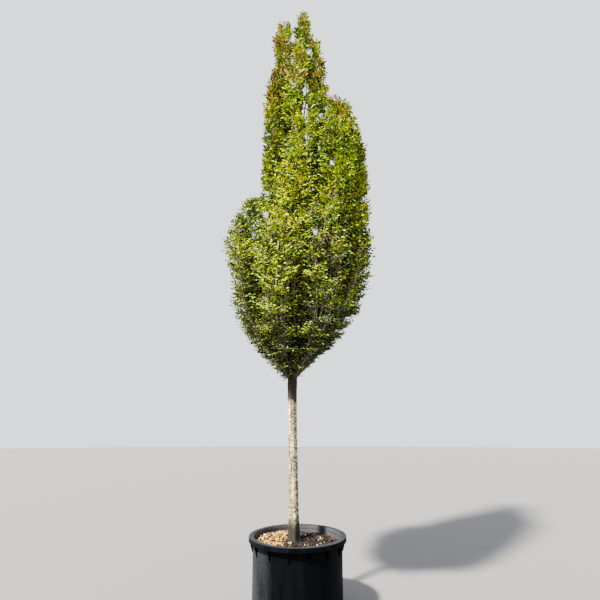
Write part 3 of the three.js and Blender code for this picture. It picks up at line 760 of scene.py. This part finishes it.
stems = []
limb_lines = []
for limb in LIMBS:
    climb = limb.top - limb.fork
    stem_top = 1 - LEAF_SPRAY * SPRAY_SIZE_LEAST * GROWTH[limb.tier][2] / climb
    shares = np.linspace(0, 1 - TIP_CLEARANCE / climb, LIMB_STEPS)
    line = np.array([limb_point(limb, share) for share in shares])
    radii = np.array([limb_radius(limb, share) for share in shares])
    walked = np.linalg.norm(line - line[0], axis=1)
    radii *= 1 + COLLAR * np.exp(-np.maximum(walked - radii[0] * 2, 0) / COLLAR_LENGTH)
    tip = shares > stem_top
    radii[tip] = np.interp(shares[tip], (stem_top, 1), (LIMB_TIP_RADIUS, SHOOT_TIP_RADIUS))
    shown = line[:, 2] < SOIL_TOP + SHOULDER_TOPS.get(limb.name, TREE_HEIGHT)
    draw_limb(line[shown], radii[shown])
    limb_lines.append(line[shown])
    stem_shares = np.linspace(limb.bare, stem_top, STEM_STEPS + 1)
    stems.append(np.array([limb_point(limb, share) for share in stem_shares]))
leader_foot, leader_radius = TRUNK_STATIONS[-1]
leader_top = TREE_HEIGHT - LEAF_SPRAY * SPRAY_SIZE_LEAST * GROWTH["leader"][2]
leader_heights = np.linspace(leader_foot - COARSE_RING, TREE_HEIGHT - TIP_CLEARANCE, LIMB_STEPS)
leader_line = np.array([trunk_centre(height) for height in leader_heights])
draw_limb(leader_line, np.interp(
    leader_heights, (leader_foot, leader_top, TREE_HEIGHT),
    (leader_radius, LIMB_TIP_RADIUS, SHOOT_TIP_RADIUS),
))
limb_lines.append(leader_line)
stem_heights = np.linspace(leader_foot, leader_top, STEM_STEPS + 1)
stems.append(np.array([trunk_centre(height) for height in stem_heights]))

bpy.ops.object.convert(target="MESH")
bpy.ops.object.mode_set(mode="EDIT")
bpy.ops.mesh.select_all(action="SELECT")
bpy.ops.mesh.remove_doubles(threshold=WELD)
bpy.ops.mesh.normals_make_consistent(inside=False)
boughs = finish_mesh("boughs", bough_bark, smooth=80)
for vertex in boughs.data.vertices:
    vertex.co += vertex.normal * BOUGH_RELIEF * bark_wave(vertex.co)
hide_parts(*[f"bough_{limb.name}" for limb in LIMBS])

# Twigs: thin pale wood that leaves every stem by the golden angle, and reaches out and then up. Each
# ends in a spray with side shoots below it, and every shoot carries short sprigs as a fan. Risers, thin
# stems of the same wood, climb beside each bough from near its fork.
CROWN_OUTLINE = [
    # height above the soil, left edge, right edge, as the view shows them in the trunk's plane
    (1.49, -0.15, 0.02), (1.57, -0.21, 0.04), (1.7, -0.33, 0.17), (1.87, -0.5, 0.38),
    (2.1, -0.65, 0.58), (2.3, -0.74, 0.72), (2.7, -0.77, 0.87), (2.92, -0.9, 0.9),
    (3.17, -0.96, 0.92), (3.86, -0.7, 0.95), (3.95, -0.5, 0.95), (4.55, -0.47, 0.97),
    (5.13, -0.48, 0.92), (5.6, -0.5, 0.83), (5.78, -0.5, 0.64), (5.86, -0.49, 0.5),
    (6.2, -0.44, 0.43), (6.63, -0.34, 0.38), (7.1, -0.44, 0.35), (7.22, -0.44, 0.24),
    (7.72, -0.3, 0.16), (7.94, 0, 0.13),
]
SKY_GAPS = [
    # middle across, middle height above the soil, half width, half height
    (0.11, 5.98, 0.06, 0.24), (0.1, 5.5, 0.065, 0.34), (0.12, 4.98, 0.05, 0.18),
    (0.474, 4.52, 0.06, 0.12), (0.22, 3.36, 0.045, 0.1), (-0.43, 3.95, 0.05, 0.1),
    (-0.43, 3.63, 0.05, 0.1), (-0.062, 7.68, 0.03, 0.22), (0.18, 6.88, 0.05, 0.08),
    (-0.08, 6.06, 0.035, 0.1),
]
GOLDEN_ANGLE = math.radians(137.508)
FIRST_TWIG = 0.05
TWIG_LENGTH_SHARE = 0.62
TWIG_LENGTH_LEAST = 0.65
TWIG_TRIES = (0.45, 0.7, 1)
TWIG_SPREAD = (58, 30)
PLUME_FOOT = 0.72
PLUME_SHOULDER = 0.55
PLUME_TIP = 0.45
TIP_SHARE = 0.74
SIDE_SHOOTS = ((0.2, 1), (0.38, -1), (0.56, 1))
SIDE_TURN = math.radians(52)
SPRAY_TRIES = (0.3, 0.46, 0.62, 0.8, 1)
UP_PULL = 0.45
BLADE_LIFT = 0.55
BLADE_SHARE = 0.05
SHARED_SPACE = 0.03
LIMB_MARGIN = 0.005
BOX_MARGIN = 0.002
EDGE_SLACK = (-0.045, 0.045)
EDGE_SEED = 7
GAP_FADE = 0.45
SEED = 41
SEED_STEP = 977
FINER_SPACING = {"lower": 0.22, "middle": 0.21, "upper": 0.26, "top": 0.4, "leader": 0.5}
FINER_SPRAY = 0.72
FINER_SPREAD = (80, 55)
FINER_GIRTH = 1.7
FINER_PULL = 0.2
FORK_TWIG_TOP = 1.6
FORK_TWIG_STEPS = 14
FORK_TWIG_SPACING = 0.02
FORK_SPREAD = (100, 75)
FORK_SPRAY = 0.6
RISER_COUNT = {"lower": 6, "middle": 3, "upper": 3, "top": 2}
RISER_STARTS = (0.02, 0.16)
RISER_ENDS = (0.5, 0.85)
RISER_OFFSETS = (0.45, 1.05)
RISER_TURN = 0.9
RISER_BEND = 0.8
RISER_GIRTH = 0.45
RISER_SPACING = 0.11
RISER_SPRAY = 0.55
RISER_RADIUS = 0.006
RISER_POINTS = 9
SPRIG_PLACES = (0.16, 0.34, 0.5, 0.66, 0.82)
SPRIG_SHARE = 0.46
SPRIG_SHRINK = (1.1, 0.5)
SPRIG_LEAST = 0.05
SPRIG_TRIES = (0.5, 1)
TWIG_RADIUS = 0.0034
SHOOT_RADIUS = 0.0021
SPRIG_RADIUS = 0.0014
SHOOT_POINTS = 4
TWIG_SIDES = 3
TWIG_TAPER = 0.45
TWIG_TONE = {"scale": 30, "detail": 3}
TWIG_COLOURS = [(0.35, (0.17, 0.13, 0.085)), (0.7, (0.56, 0.47, 0.34))]
TWIG_RELIEF = 0.001
UP = np.array([0.0, 0.0, 1.0])


def unit(vectors):
    """Vectors brought to a length of one."""
    return vectors / np.linalg.norm(vectors, axis=-1, keepdims=True)


def turned(vector, axis, angle):
    """The vector turned about a unit axis, by the right-hand rule."""
    along = axis * np.sum(axis * vector, axis=-1, keepdims=True)
    across = np.cross(axis, vector)
    return vector * math.cos(angle) + across * math.sin(angle) + along * (1 - math.cos(angle))


def gaps_between(points, starts, spans):
    """The distance from each point to each straight stretch of wood."""
    away = points[..., None, :] - starts
    along = np.clip((away * spans).sum(-1) / (spans ** 2).sum(-1), 0, 1)
    return np.linalg.norm(away - along[..., None] * spans, axis=-1)


edge_draw = np.random.default_rng(EDGE_SEED)


def as_seen(points):
    """Where points show in the trunk's plane: how far across, and how high above the soil."""
    nearer = -EYE[1] / (points[..., 1] - EYE[1])
    across = EYE[0] + (points[..., 0] - EYE[0]) * nearer
    return across, EYE[2] + (points[..., 2] - EYE[2]) * nearer - SOIL_TOP


def off_gaps(across, height):
    """How far places lie from the middle of the nearest gap of sky, against its size."""
    return np.min([
        np.hypot((across - middle) / half_width, (height - level) / half_height)
        for middle, level, half_width, half_height in SKY_GAPS
    ], axis=0)


def in_box(points, margin):
    """True where points lie in the CAD box, by a margin."""
    return ((points > np.array(cad_low) + margin) & (points < np.array(cad_high) - margin)).all(-1)


def in_reach(points):
    """True where points lie in the CAD box, within the outline and off the gaps, give or take a
    random slack that keeps their edges loose."""
    across, height = as_seen(points)
    heights, lefts, rights = np.array(CROWN_OUTLINE).T
    slack = edge_draw.uniform(*EDGE_SLACK, points.shape[:1] + (1,) * (points.ndim - 2))
    inside = across > np.interp(height, heights, lefts) - slack
    inside &= across < np.interp(height, heights, rights) + slack
    inside &= (height > heights[0] - slack) & (height < heights[-1] + slack)
    inside &= off_gaps(across, height) > 1 + GAP_FADE * (slack / EDGE_SLACK[1] - 1)
    return inside & in_box(points, BOX_MARGIN)


stem_starts = np.concatenate([stem[:-1] for stem in stems])
stem_spans = np.concatenate([np.diff(stem, axis=0) for stem in stems])
trunk_path = np.array([trunk_centre(height) for height in station_heights])
bare_paths = [
    np.array([limb_point(limb, limb.bare * part / BARE_STEPS) for part in range(BARE_STEPS + 1)])
    for limb in LIMBS
]
wood_starts = np.concatenate([path[:-1] for path in [trunk_path, *bare_paths]])
wood_spans = np.concatenate([np.diff(path, axis=0) for path in [trunk_path, *bare_paths]])
bare_radii = [[limb_radius(limb, 0)] * BARE_STEPS for limb in LIMBS]
wood_radii = np.concatenate([station_radii[:-1], *bare_radii])
masses = [*LIMBS, Limb("leader", "leader", 0, leader_foot, TREE_HEIGHT, 0, LEADER_GIRTH, 0)]


def has_room(mass, points):
    """True where points lie in the mass's space or the little it shares, off the limbs and in reach."""
    gaps = gaps_between(points, stem_starts, stem_spans)
    gaps = gaps.reshape(*points.shape[:-1], len(stems), STEM_STEPS).min(-1)
    others = np.delete(gaps, mass, axis=-1).min(-1)
    off_wood = (gaps_between(points, wood_starts, wood_spans) - wood_radii).min(-1)
    free = (others > gaps[..., mass] - SHARED_SPACE) & (off_wood > LIMB_MARGIN)
    return (free & in_reach(points) & (points[..., 2] < SOIL_TOP + masses[mass].top)).all(-1)


def shoot_lines(roots, ways, lengths, shares, up_pull):
    """Points along shoots that set off in their own direction and bend up."""
    shares = np.asarray(shares)[None, :, None]
    bent = unit(ways + UP * up_pull)[:, None]
    lengths = lengths[:, None, None]
    return roots[:, None] + (ways[:, None] * shares * (1 - shares) + bent * shares ** 2) * lengths


def fitted(mass, tries, roots, ways, lengths, up_pull):
    """The part of each shoot's length that has room, or 0 where none does."""
    parts = np.zeros(len(roots))
    for part in tries:
        points = shoot_lines(roots, ways, lengths * part, (0.5, 1), up_pull)
        parts[has_room(mass, points)] = part
    return parts


def plume_width(share):
    """How far twigs reach at a share of a mass's height, against its girth."""
    return min(1, PLUME_FOOT + share) * np.interp(share, (PLUME_SHOULDER, 1), (1, PLUME_TIP))


def spray_face(ways, outward):
    """The way a spray faces: partly up and partly out from its stem."""
    lifted = UP * BLADE_LIFT + outward * (1 - BLADE_LIFT)
    return unit(lifted - ways * np.sum(lifted * ways, axis=-1, keepdims=True))


def twigs_on(line, girth, growth, spacing, spread_range, draw):
    """Twigs up a stem: their roots, directions, ways out, full lengths and lengths of spray."""
    _, crowding, spray = growth
    count = int(np.linalg.norm(np.diff(line, axis=0), axis=1).sum() / spacing + 0.5)
    rows = []
    for twig in range(count):
        share = FIRST_TWIG + (1 - FIRST_TWIG) * ((twig + next(draw)) / count) ** crowding
        place = share * (len(line) - 1)
        index = min(int(place), len(line) - 2)
        root = line[index] + (line[index + 1] - line[index]) * (place - index)
        along = unit(line[index + 1] - line[index])
        outward = turned(unit(np.cross((0, 1, 0), along)), along, twig * GOLDEN_ANGLE + next(draw))
        spread = math.radians(between(spread_range, share))
        direction = along * math.cos(spread) + outward * math.sin(spread)
        length = girth * TWIG_LENGTH_SHARE * plume_width(share)
        length *= between((TWIG_LENGTH_LEAST, 1), next(draw))
        size = spray * between((SPRAY_SIZE_LEAST, 1), next(draw))
        for _ in range(1 + len(SIDE_SHOOTS)):
            # the source draws a number here for the roll of each of the twig's blades
            next(draw)
        rows.append((root, direction, outward, length, LEAF_SPRAY * size - BLADE_SHARE))
    return [np.array(column) for column in zip(*rows)]


wood = []
clump_places = []


def grow_shoots(mass, clumps, roots, ways, outward, lengths, tries, radius, points, pull):
    """Adds the shoots that have room to the wood, and gives their clumps, lines, ways out and faces."""
    parts = fitted(mass, tries, roots, ways, lengths, pull)
    kept = parts > 0
    shares = np.linspace(0, 1, points)
    lines = shoot_lines(roots[kept], ways[kept], (lengths * parts)[kept], shares, pull)
    faces = spray_face(ways[kept], outward[kept])
    wood.append((lines, radius, clumps[kept]))
    return clumps[kept], lines, outward[kept], faces


def grow_sprigs(mass, clumps, lines, outward, faces):
    """Adds short sprigs to both sides of shoots, in the plane each shoot's leaves lie in."""
    spans = np.diff(lines, axis=1)
    lengths = np.linalg.norm(spans, axis=2).sum(1)
    for number, share in enumerate(SPRIG_PLACES):
        place = share * spans.shape[1]
        index = int(place)
        roots = lines[:, index] + spans[:, index] * (place - index)
        ways = turned(unit(spans[:, index]), faces, SIDE_TURN * (1 if number % 2 else -1))
        sizes = np.maximum(SPRIG_LEAST, lengths * SPRIG_SHARE * between(SPRIG_SHRINK, share))
        grow_shoots(mass, clumps, roots, ways, outward, sizes, SPRIG_TRIES, SPRIG_RADIUS, 2, 0)


def grow_sprays(mass, twigs, spray_share, sides, pull):
    """Grows twigs with a spray at the end, their side shoots, and sprigs on all of them."""
    roots, directions, outward, lengths, sprays = twigs
    parts = fitted(mass, TWIG_TRIES, roots, directions, lengths, 0)
    kept = parts > 0
    roots, directions, outward, sprays = (row[kept] for row in (roots, directions, outward, sprays))
    lengths = (lengths * parts)[kept]
    clumps = len(clump_places) + np.arange(len(roots))
    clump_places.extend(roots + directions * lengths[:, None])
    sprays = sprays * spray_share
    faces = spray_face(directions, outward)
    whole = lengths * TIP_SHARE + sprays
    grow_sprigs(mass, *grow_shoots(
        mass, clumps, roots, directions, outward, whole, SPRAY_TRIES, TWIG_RADIUS, SHOOT_POINTS, pull
    ))
    for share, hand in sides:
        side_roots = roots + directions * (lengths * share)[:, None]
        clumps = len(clump_places) + np.arange(len(roots))
        clump_places.extend(side_roots)
        ways = unit(turned(directions, faces, hand * SIDE_TURN) + UP * pull)
        grow_sprigs(mass, *grow_shoots(
            mass, clumps, side_roots, ways, outward, sprays, SPRAY_TRIES, SHOOT_RADIUS, SHOOT_POINTS, pull
        ))


def grow_risers(mass, limb, growth, draw):
    """Grows thin stems that climb beside a bough from near its fork, each with its own twigs."""
    for riser in range(RISER_COUNT[limb.tier]):
        start = between(RISER_STARTS, next(draw))
        end = between(RISER_ENDS, next(draw))
        hand = 1 if riser % 2 else -1
        turn = math.radians(limb.heading) + hand * (math.pi / 2 + RISER_TURN * (next(draw) - 0.5))
        out = np.array([math.cos(turn), math.sin(turn), 0])
        offset = between(RISER_OFFSETS, next(draw))
        apart = limb.girth * offset * np.linspace(0, 1, RISER_POINTS) ** RISER_BEND
        line = np.array([limb_point(limb, share) for share in np.linspace(start, end, RISER_POINTS)])
        line += out * apart[:, None]
        if in_reach(line).all():
            wood.append((line[None], RISER_RADIUS, None))
            girth = limb.girth * RISER_GIRTH
            twigs = twigs_on(line, girth, growth, RISER_SPACING, FINER_SPREAD, draw)
            grow_sprays(mass, twigs, RISER_SPRAY, (), FINER_PULL)


for mass, limb in enumerate(masses):
    growth = GROWTH[limb.tier]
    own_draw = random_stream(SEED + mass * SEED_STEP)
    own = twigs_on(stems[mass], limb.girth, growth, growth[0], TWIG_SPREAD, own_draw)
    grow_sprays(mass, own, 1, SIDE_SHOOTS, UP_PULL)
    draw = random_stream(SEED + (mass + len(masses)) * SEED_STEP)
    girth = limb.girth * FINER_GIRTH
    spacing = growth[0] * FINER_SPACING[limb.tier]
    finer = twigs_on(limb_lines[mass], girth, growth, spacing, FINER_SPREAD, draw)
    grow_sprays(mass, finer, FINER_SPRAY, SIDE_SHOOTS, FINER_PULL)
    if limb in LIMBS:
        grow_risers(mass, limb, growth, draw)
    if limb.fork < FORK_TWIG_TOP:
        fork_line = limb_lines[mass][:FORK_TWIG_STEPS]
        twigs = twigs_on(fork_line, limb.girth, growth, FORK_TWIG_SPACING, FORK_SPREAD, draw)
        grow_sprays(mass, twigs, FORK_SPRAY, (), FINER_PULL)


def tubes(lines, radius):
    """Three-sided tubes that taper to a point along rows of points: (vertices, triangles)."""
    rings = lines.shape[1] - 1
    ring = np.arange(TWIG_SIDES) * math.tau / TWIG_SIDES
    along = unit(lines[:, -1] - lines[:, 0])
    side = unit(np.cross((0, 1, 0), along))
    depth = np.cross(along, side)
    around = np.cos(ring)[:, None] * side[:, None] + np.sin(ring)[:, None] * depth[:, None]
    taper = radius * np.linspace(1, TWIG_TAPER, rings)
    walls = lines[:, :-1, None] + around[:, None] * taper[None, :, None, None]
    vertices = np.concatenate([walls.reshape(len(lines), -1, 3), lines[:, -1:]], axis=1)
    low = np.arange(rings - 1)[:, None] * TWIG_SIDES + np.arange(TWIG_SIDES)
    beside = np.arange(rings - 1)[:, None] * TWIG_SIDES + (np.arange(TWIG_SIDES) + 1) % TWIG_SIDES
    top = (rings - 1) * TWIG_SIDES
    tip = rings * TWIG_SIDES
    triangles = np.concatenate([
        np.stack([low, beside, beside + TWIG_SIDES], -1).reshape(-1, 3),
        np.stack([low, beside + TWIG_SIDES, low + TWIG_SIDES], -1).reshape(-1, 3),
        [[2, 1, 0], [top, top + 1, tip], [top + 1, top + 2, tip], [top + 2, top, tip]],
    ])
    starts = np.arange(len(lines)) * vertices.shape[1]
    return vertices.reshape(-1, 3), (triangles[None] + starts[:, None, None]).reshape(-1, 3)


twig_bark = grained("twig_bark", 0.7, TWIG_TONE, TWIG_COLOURS, TWIG_TONE, TWIG_RELIEF)
foliage_nodes = [f"foliage_{limb.name}" for limb in masses]
for name, short in (("twigs", False), ("sprigs", True)):
    shapes = [
        tubes(lines, radius) for lines, radius, _ in wood
        if len(lines) and (lines.shape[1] == 2) == short
    ]
    offsets = np.cumsum([0, *(len(vertices) for vertices, _ in shapes[:-1])])
    vertices = np.concatenate([vertices for vertices, _ in shapes])
    triangles = np.concatenate([faces + offset for (_, faces), offset in zip(shapes, offsets)])
    twigs = mesh_piece(name, vertices, triangles, twig_bark, True)
    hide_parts(*foliage_nodes)

# Leaves: thin oval blades with a drawn-out tip, folded a little at the midrib, in two ranks along
# each shoot. Early autumn has turned some sprays, dark tints are painted shade within and low in the
# crown, and pale ones painted sunlight; each colour is a piece of its own.
LEAF_LENGTH = 0.044
LEAF_WIDTH = 0.024
LEAF_STEP = 0.0165
LEAF_LIFTS = (0.5, 0.16)
LEAF_LIFT_HEIGHTS = (2, 8)
LEAF_CORNERS = np.array([
    # across, along, lift: the two ends of the rib first, then each edge
    (0, 0, 0), (0, 1, -0.14),
    (0.44, 0.28, 0.07), (0.4, 0.66, 0.02), (-0.44, 0.28, 0.07), (-0.4, 0.66, 0.02),
])
LEAF_TRIANGLES = np.array([(0, 2, 1), (2, 3, 1), (0, 1, 4), (1, 5, 4)])
LEAF_DRAWS = 10
LEAF_TURNS = (0.5, 1.25)
END_LEAF_TURN = 0.3
LEAF_TILT = 1.3
LEAF_SAG = 0.25
LEAF_LEVEL = 0.4
LEAF_SIZES = (0.7, 1.2)
LEAF_GROWTH = (0.6, 1.06)
LEAF_GROWTH_HEIGHTS = (2.2, 5)
FIRST_LEAF = 0.16
GAP_CLEAR = 1.05
GAP_RAGGED = 0.3
LEAF_MOTTLE = {"scale": 23, "detail": 3}
LEAF_SURFACE = {"scale": 70, "detail": 2}
LEAF_RELIEF = 0.003
LEAF_STOPS = (0.36, 0.64)
TINTS = {
    # dark colour, pale colour, gloss, slot
    "shade": ((0.014, 0.022, 0.009), (0.036, 0.052, 0.02), 0.16, "leaves_green"),
    "deep": ((0.046, 0.067, 0.034), (0.1, 0.138, 0.06), 0.16, "leaves_green"),
    "mid": ((0.136, 0.196, 0.056), (0.278, 0.376, 0.094), 0.06, "leaves_green"),
    "fresh": ((0.27, 0.41, 0.02), (0.45, 0.62, 0.04), 0.02, "leaves_green"),
    "gold": ((0.4, 0.45, 0.005), (0.63, 0.67, 0.012), 0.02, "leaves_olive"),
    "olive": ((0.26, 0.235, 0.085), (0.48, 0.44, 0.165), 0.1, "leaves_olive"),
    "bronze": ((0.33, 0.2, 0.045), (0.56, 0.38, 0.09), 0.08, "leaves_bronze"),
}
TINT_HEIGHTS = (2.2, 2.7, 3.6, 5.6, 7.4)
TINT_SHARES = {
    # share of the sprays at each of those heights: the dark tints low down are the crown's painted shade
    "shade": (0.66, 0.11, 0.05, 0.04, 0.04),
    "deep": (0.28, 0.15, 0.12, 0.1, 0.1),
    "mid": (0.12, 0.33, 0.28, 0.22, 0.15),
    "fresh": (0.02, 0.35, 0.44, 0.35, 0.13),
    "gold": (0.0, 0.03, 0.09, 0.12, 0.12),
    "olive": (0.02, 0.07, 0.07, 0.16, 0.32),
    "bronze": (0.0, 0.0, 0.01, 0.05, 0.2),
}
TURNING_SPRAYS = [
    # place, radius, tint: where autumn has come early, and where a late flush is still green
    ((-0.03, -0.5, 3.6), 0.3, "gold"), ((0.02, -0.4, 4.1), 0.3, "gold"),
    ((-0.53, -0.3, 3.3), 0.26, "gold"), ((0.3, 0.6, 4.4), 0.35, "gold"),
    ((0.34, -0.2, 5.85), 0.24, "fresh"), ((0.53, -0.2, 5.95), 0.16, "bronze"),
    ((0.35, -0.3, 5.2), 0.22, "gold"),
]
TURNING_SHARE = 0.85
TURNING_OUTER = 0.45
TINT_FAVOUR = {
    # what makes a tint likelier, and how strongly: the dark tints are painted shade far within and on
    # the dim side, where olive adds painted glints, and fresh and gold are painted sunlight outside
    "shade": {"anywhere": 0.1, "inner squared": 3, "dim side": 9},
    "deep": {"anywhere": 1.5, "outer": -0.9, "sunny": -1, "dim side": 2},
    "mid": {"anywhere": 1},
    "fresh": {"anywhere": 0.15, "outer squared": 1, "sunny": 1.5},
    "gold": {"outer cubed": 1, "sunny": 2.5},
    "olive": {"anywhere": 0.3, "outer": 0.8, "dim side": 3, "far side": 1},
    "bronze": {"anywhere": 0.2, "outer": 0.9},
}
TINT_LEAST = 0.001
FRESH_DIMMING = 0.5
OUTERMOST = 1.1
SUN_PATCH_SCALE = 2.2
# how painted sunlight falls on the leaves' colours: in patches and high on the right, less on the near
# left and at the back
SUN_FAVOUR = {"patches": 0.6, "far side": 0.8, "near side": -0.6, "back": -0.18}
# the crown's upper right, the far side, gets painted sunlight, and its lower right, the dim side, painted
# shade
FAR_SIDE = (0.05, 0.6)
FAR_SIDE_HEIGHTS = (3.5, 4.3)
NEAR_SIDE = (-0.5, -0.1)
DIM_SIDE = (0, 0.5)
DIM_SIDE_HEIGHTS = (2.6, 4.2)
CORE_BIN = 0.35
CORE_SECTORS = 8
CORE_PERCENTILE = 85
BESIDE_SHARE = 0.3
# shares of each spray's leaves dealt dark as painted shade, fewer towards the top, and dealt fresh as
# painted sunlit specks
DIM_SHARE = 0.24
DARKEST_SHARE = 1 / 3
DIM_HEIGHTS = (5, 7)
DIM_AT_TOP = 0.5
SUNNY_SHARE = 0.07


def trunk_axis(points):
    """The places on the trunk's line that are level with points."""
    return np.array([trunk_centre(height) for height in points[:, 2] - SOIL_TOP])


def outer_shares(points):
    """How far out in the crown points lie: 0 at the trunk's line and 1 at the leaves' surface."""
    across, back = (points - trunk_axis(points)).T[:2]
    radius = np.hypot(across, back)
    sector = (np.arctan2(back, across) / math.tau * CORE_SECTORS).astype(int) % CORE_SECTORS
    cell = (points[:, 2] / CORE_BIN).astype(int) * CORE_SECTORS + sector
    edges = {
        number: np.percentile(radius[cell == number], CORE_PERCENTILE) for number in np.unique(cell)
    }
    return radius / np.array([edges[number] for number in cell])


def deal_tints(points, chance):
    """Each shoot's leaf colour: painted shade makes it dark within and low down, most of all low on the
    right. Painted sunlight makes it fresh and golden outside, most of all high on the right and in
    patches, and it turns towards the top."""
    across, back, height = points.T
    outer = np.clip(outer_shares(points), 0, OUTERMOST)
    far_side = np.interp(across, FAR_SIDE, (0, 1)) * np.interp(height, FAR_SIDE_HEIGHTS, (0, 1))
    dim_side = np.interp(across, DIM_SIDE, (0, 1)) * np.interp(height, DIM_SIDE_HEIGHTS, (1, 0))
    sun = {
        "patches": np.array([noise.noise(Vector(point) * SUN_PATCH_SCALE) for point in points]),
        "far side": far_side, "near side": np.interp(across, NEAR_SIDE, (1, 0)), "back": back,
    }
    measures = {
        "anywhere": np.ones(len(points)), "inner squared": (OUTERMOST - outer) ** 2,
        "outer": outer, "outer squared": outer ** 2, "outer cubed": outer ** 3,
        "sunny": outer * sum(sun[side] * strength for side, strength in SUN_FAVOUR.items()),
        "far side": far_side, "dim side": dim_side,
    }
    weights = []
    for tint, strengths in TINT_FAVOUR.items():
        favour = sum(measures[measure] * strength for measure, strength in strengths.items())
        if tint == "fresh":
            favour = favour * (1 - FRESH_DIMMING * dim_side)
        weights.append(np.maximum(TINT_LEAST, favour) * np.interp(height, TINT_HEIGHTS, TINT_SHARES[tint]))
    totals = np.cumsum(weights, axis=0)
    dealt = (totals < chance.random(len(points)) * totals[-1]).sum(0)
    for place, radius, tint in TURNING_SPRAYS:
        near = np.linalg.norm(points - place, axis=1) < radius
        turning = near & (outer > TURNING_OUTER) & (chance.random(len(points)) < TURNING_SHARE)
        dealt[turning] = tint_numbers[tint]
    return dealt


chance = np.random.default_rng(SEED)
tint_numbers = {tint: number for number, tint in enumerate(TINTS)}
clump_tints = deal_tints(np.array(clump_places), chance)
leaves = []
for lines, _, clumps in wood:
    if clumps is None or not len(lines):
        continue
    reach = np.linalg.norm(np.diff(lines, axis=1), axis=2).sum(1)
    counts = np.maximum(2, (reach * (1 - FIRST_LEAF) / LEAF_STEP).astype(int) + 1)
    shoot = np.repeat(np.arange(len(lines)), counts)
    order = np.concatenate([np.arange(count) for count in counts])
    share = FIRST_LEAF + (1 - FIRST_LEAF) * order / (counts[shoot] - 1)
    place = share * (lines.shape[1] - 1)
    index = np.minimum(place.astype(int), lines.shape[1] - 2)
    span = lines[shoot, index + 1] - lines[shoot, index]
    points = lines[shoot, index] + span * (place - index)[:, None]
    draws = chance.random((len(shoot), LEAF_DRAWS))
    along = unit(span)
    lift = np.interp(points[:, 2:], LEAF_LIFT_HEIGHTS, LEAF_LIFTS)
    sky_side = unit(points - trunk_axis(points)) * (1 - lift) + UP * lift
    side = unit(np.cross(along, sky_side))
    hand = np.where(order % 2, 1, -1)[:, None]
    turn = between(LEAF_TURNS, draws[:, :1])
    turn[order == counts[shoot] - 1] *= END_LEAF_TURN
    ways = along * np.cos(turn) + side * hand * np.sin(turn)
    ways = unit(ways * (1, 1, LEAF_LEVEL) - UP * LEAF_SAG * draws[:, 1:2])
    normals = sky_side + LEAF_TILT * (draws[:, 2:5] - 0.5)
    sizes = between(LEAF_SIZES, draws[:, 5]) * np.interp(points[:, 2], LEAF_GROWTH_HEIGHTS, LEAF_GROWTH)
    beside = np.where(draws[:, 7] < 0.5, -1, 1)
    tints = clump_tints[clumps[shoot]] + beside * (draws[:, 6] < BESIDE_SHARE)
    tints = np.clip(tints, 0, len(TINTS) - 1)
    # painted shade and light inside each spray: some leaves are dealt the dark tints, a few the fresh one
    dim = DIM_SHARE * np.interp(points[:, 2], DIM_HEIGHTS, (1, DIM_AT_TOP))
    tints[draws[:, 6] > 1 - dim] = tint_numbers["deep"]
    tints[draws[:, 6] > 1 - dim * DARKEST_SHARE] = tint_numbers["shade"]
    tints[draws[:, 8] < SUNNY_SHARE] = tint_numbers["fresh"]
    ends = points + ways * (LEAF_LENGTH * sizes)[:, None]
    off_sky = off_gaps(*as_seen(ends)) > GAP_CLEAR * draws[:, 9] ** GAP_RAGGED
    inside = in_box(ends, LEAF_WIDTH / 2) & off_sky
    leaves.append((points[inside], ways[inside], normals[inside], sizes[inside], tints[inside]))
points, ways, normals, sizes, tints = (np.concatenate(column) for column in zip(*leaves))

for tint, (*colours, gloss, slot) in TINTS.items():
    chosen = tints == tint_numbers[tint]
    across = unit(np.cross(ways[chosen], normals[chosen]))
    up = np.cross(across, ways[chosen])
    axes = np.stack([across * LEAF_WIDTH, ways[chosen] * LEAF_LENGTH, up * LEAF_LENGTH], axis=1)
    shapes = np.einsum("vk,nkj->nvj", LEAF_CORNERS, axes) * sizes[chosen][:, None, None]
    places = points[chosen][:, None] + shapes
    faces = LEAF_TRIANGLES[None] + np.arange(chosen.sum())[:, None, None] * len(LEAF_CORNERS)
    stops = list(zip(LEAF_STOPS, colours))
    skin = grained(f"leaf_{tint}", 0.6, LEAF_MOTTLE, stops, LEAF_SURFACE, LEAF_RELIEF, 0.5, gloss)
    blades = mesh_piece(
        f"leaves_{tint}", places.reshape(-1, 3), faces.reshape(-1, 3), skin, True
    )
    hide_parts(*foliage_nodes)

# Studio: a plain pale floor, a warm soft key from high on the left and an even cool fill.
STUDIO_RADIUS = 80
STUDIO_SIDES = 64
FLOOR_COLOUR = (0.17, 0.17, 0.175, 1)
FILL_COLOUR = (0.94, 0.96, 1, 1)
FILL_STRENGTH = 1.3
KEY_ELEVATION = math.radians(49)
KEY_AZIMUTH = math.radians(-44)
KEY_STRENGTH = 16
KEY_SOFTNESS = math.radians(5)
KEY_COLOUR = (1, 0.95, 0.86)

bpy.ops.object.select_all(action="DESELECT")
bpy.ops.mesh.primitive_circle_add(vertices=STUDIO_SIDES, radius=STUDIO_RADIUS, fill_type="NGON")
floor = bpy.context.object
floor.name = "floor"
floor_paint, nodes, links, shader = new_material("floor_paint", 0.9)
shader.inputs["Base Color"].default_value = FLOOR_COLOUR
floor.data.materials.append(floor_paint)

world = bpy.data.worlds.new("studio")
bpy.context.scene.world = world
world.use_nodes = True
fill = world.node_tree.nodes["Background"]
fill.inputs["Color"].default_value = FILL_COLOUR
fill.inputs["Strength"].default_value = FILL_STRENGTH
bpy.ops.object.light_add(type="SUN", rotation=(math.pi / 2 - KEY_ELEVATION, 0, KEY_AZIMUTH))
key = bpy.context.object.data
key.energy = KEY_STRENGTH
key.angle = KEY_SOFTNESS
key.color = KEY_COLOUR
bpy.context.scene.view_settings.look = "AgX - Medium High Contrast"
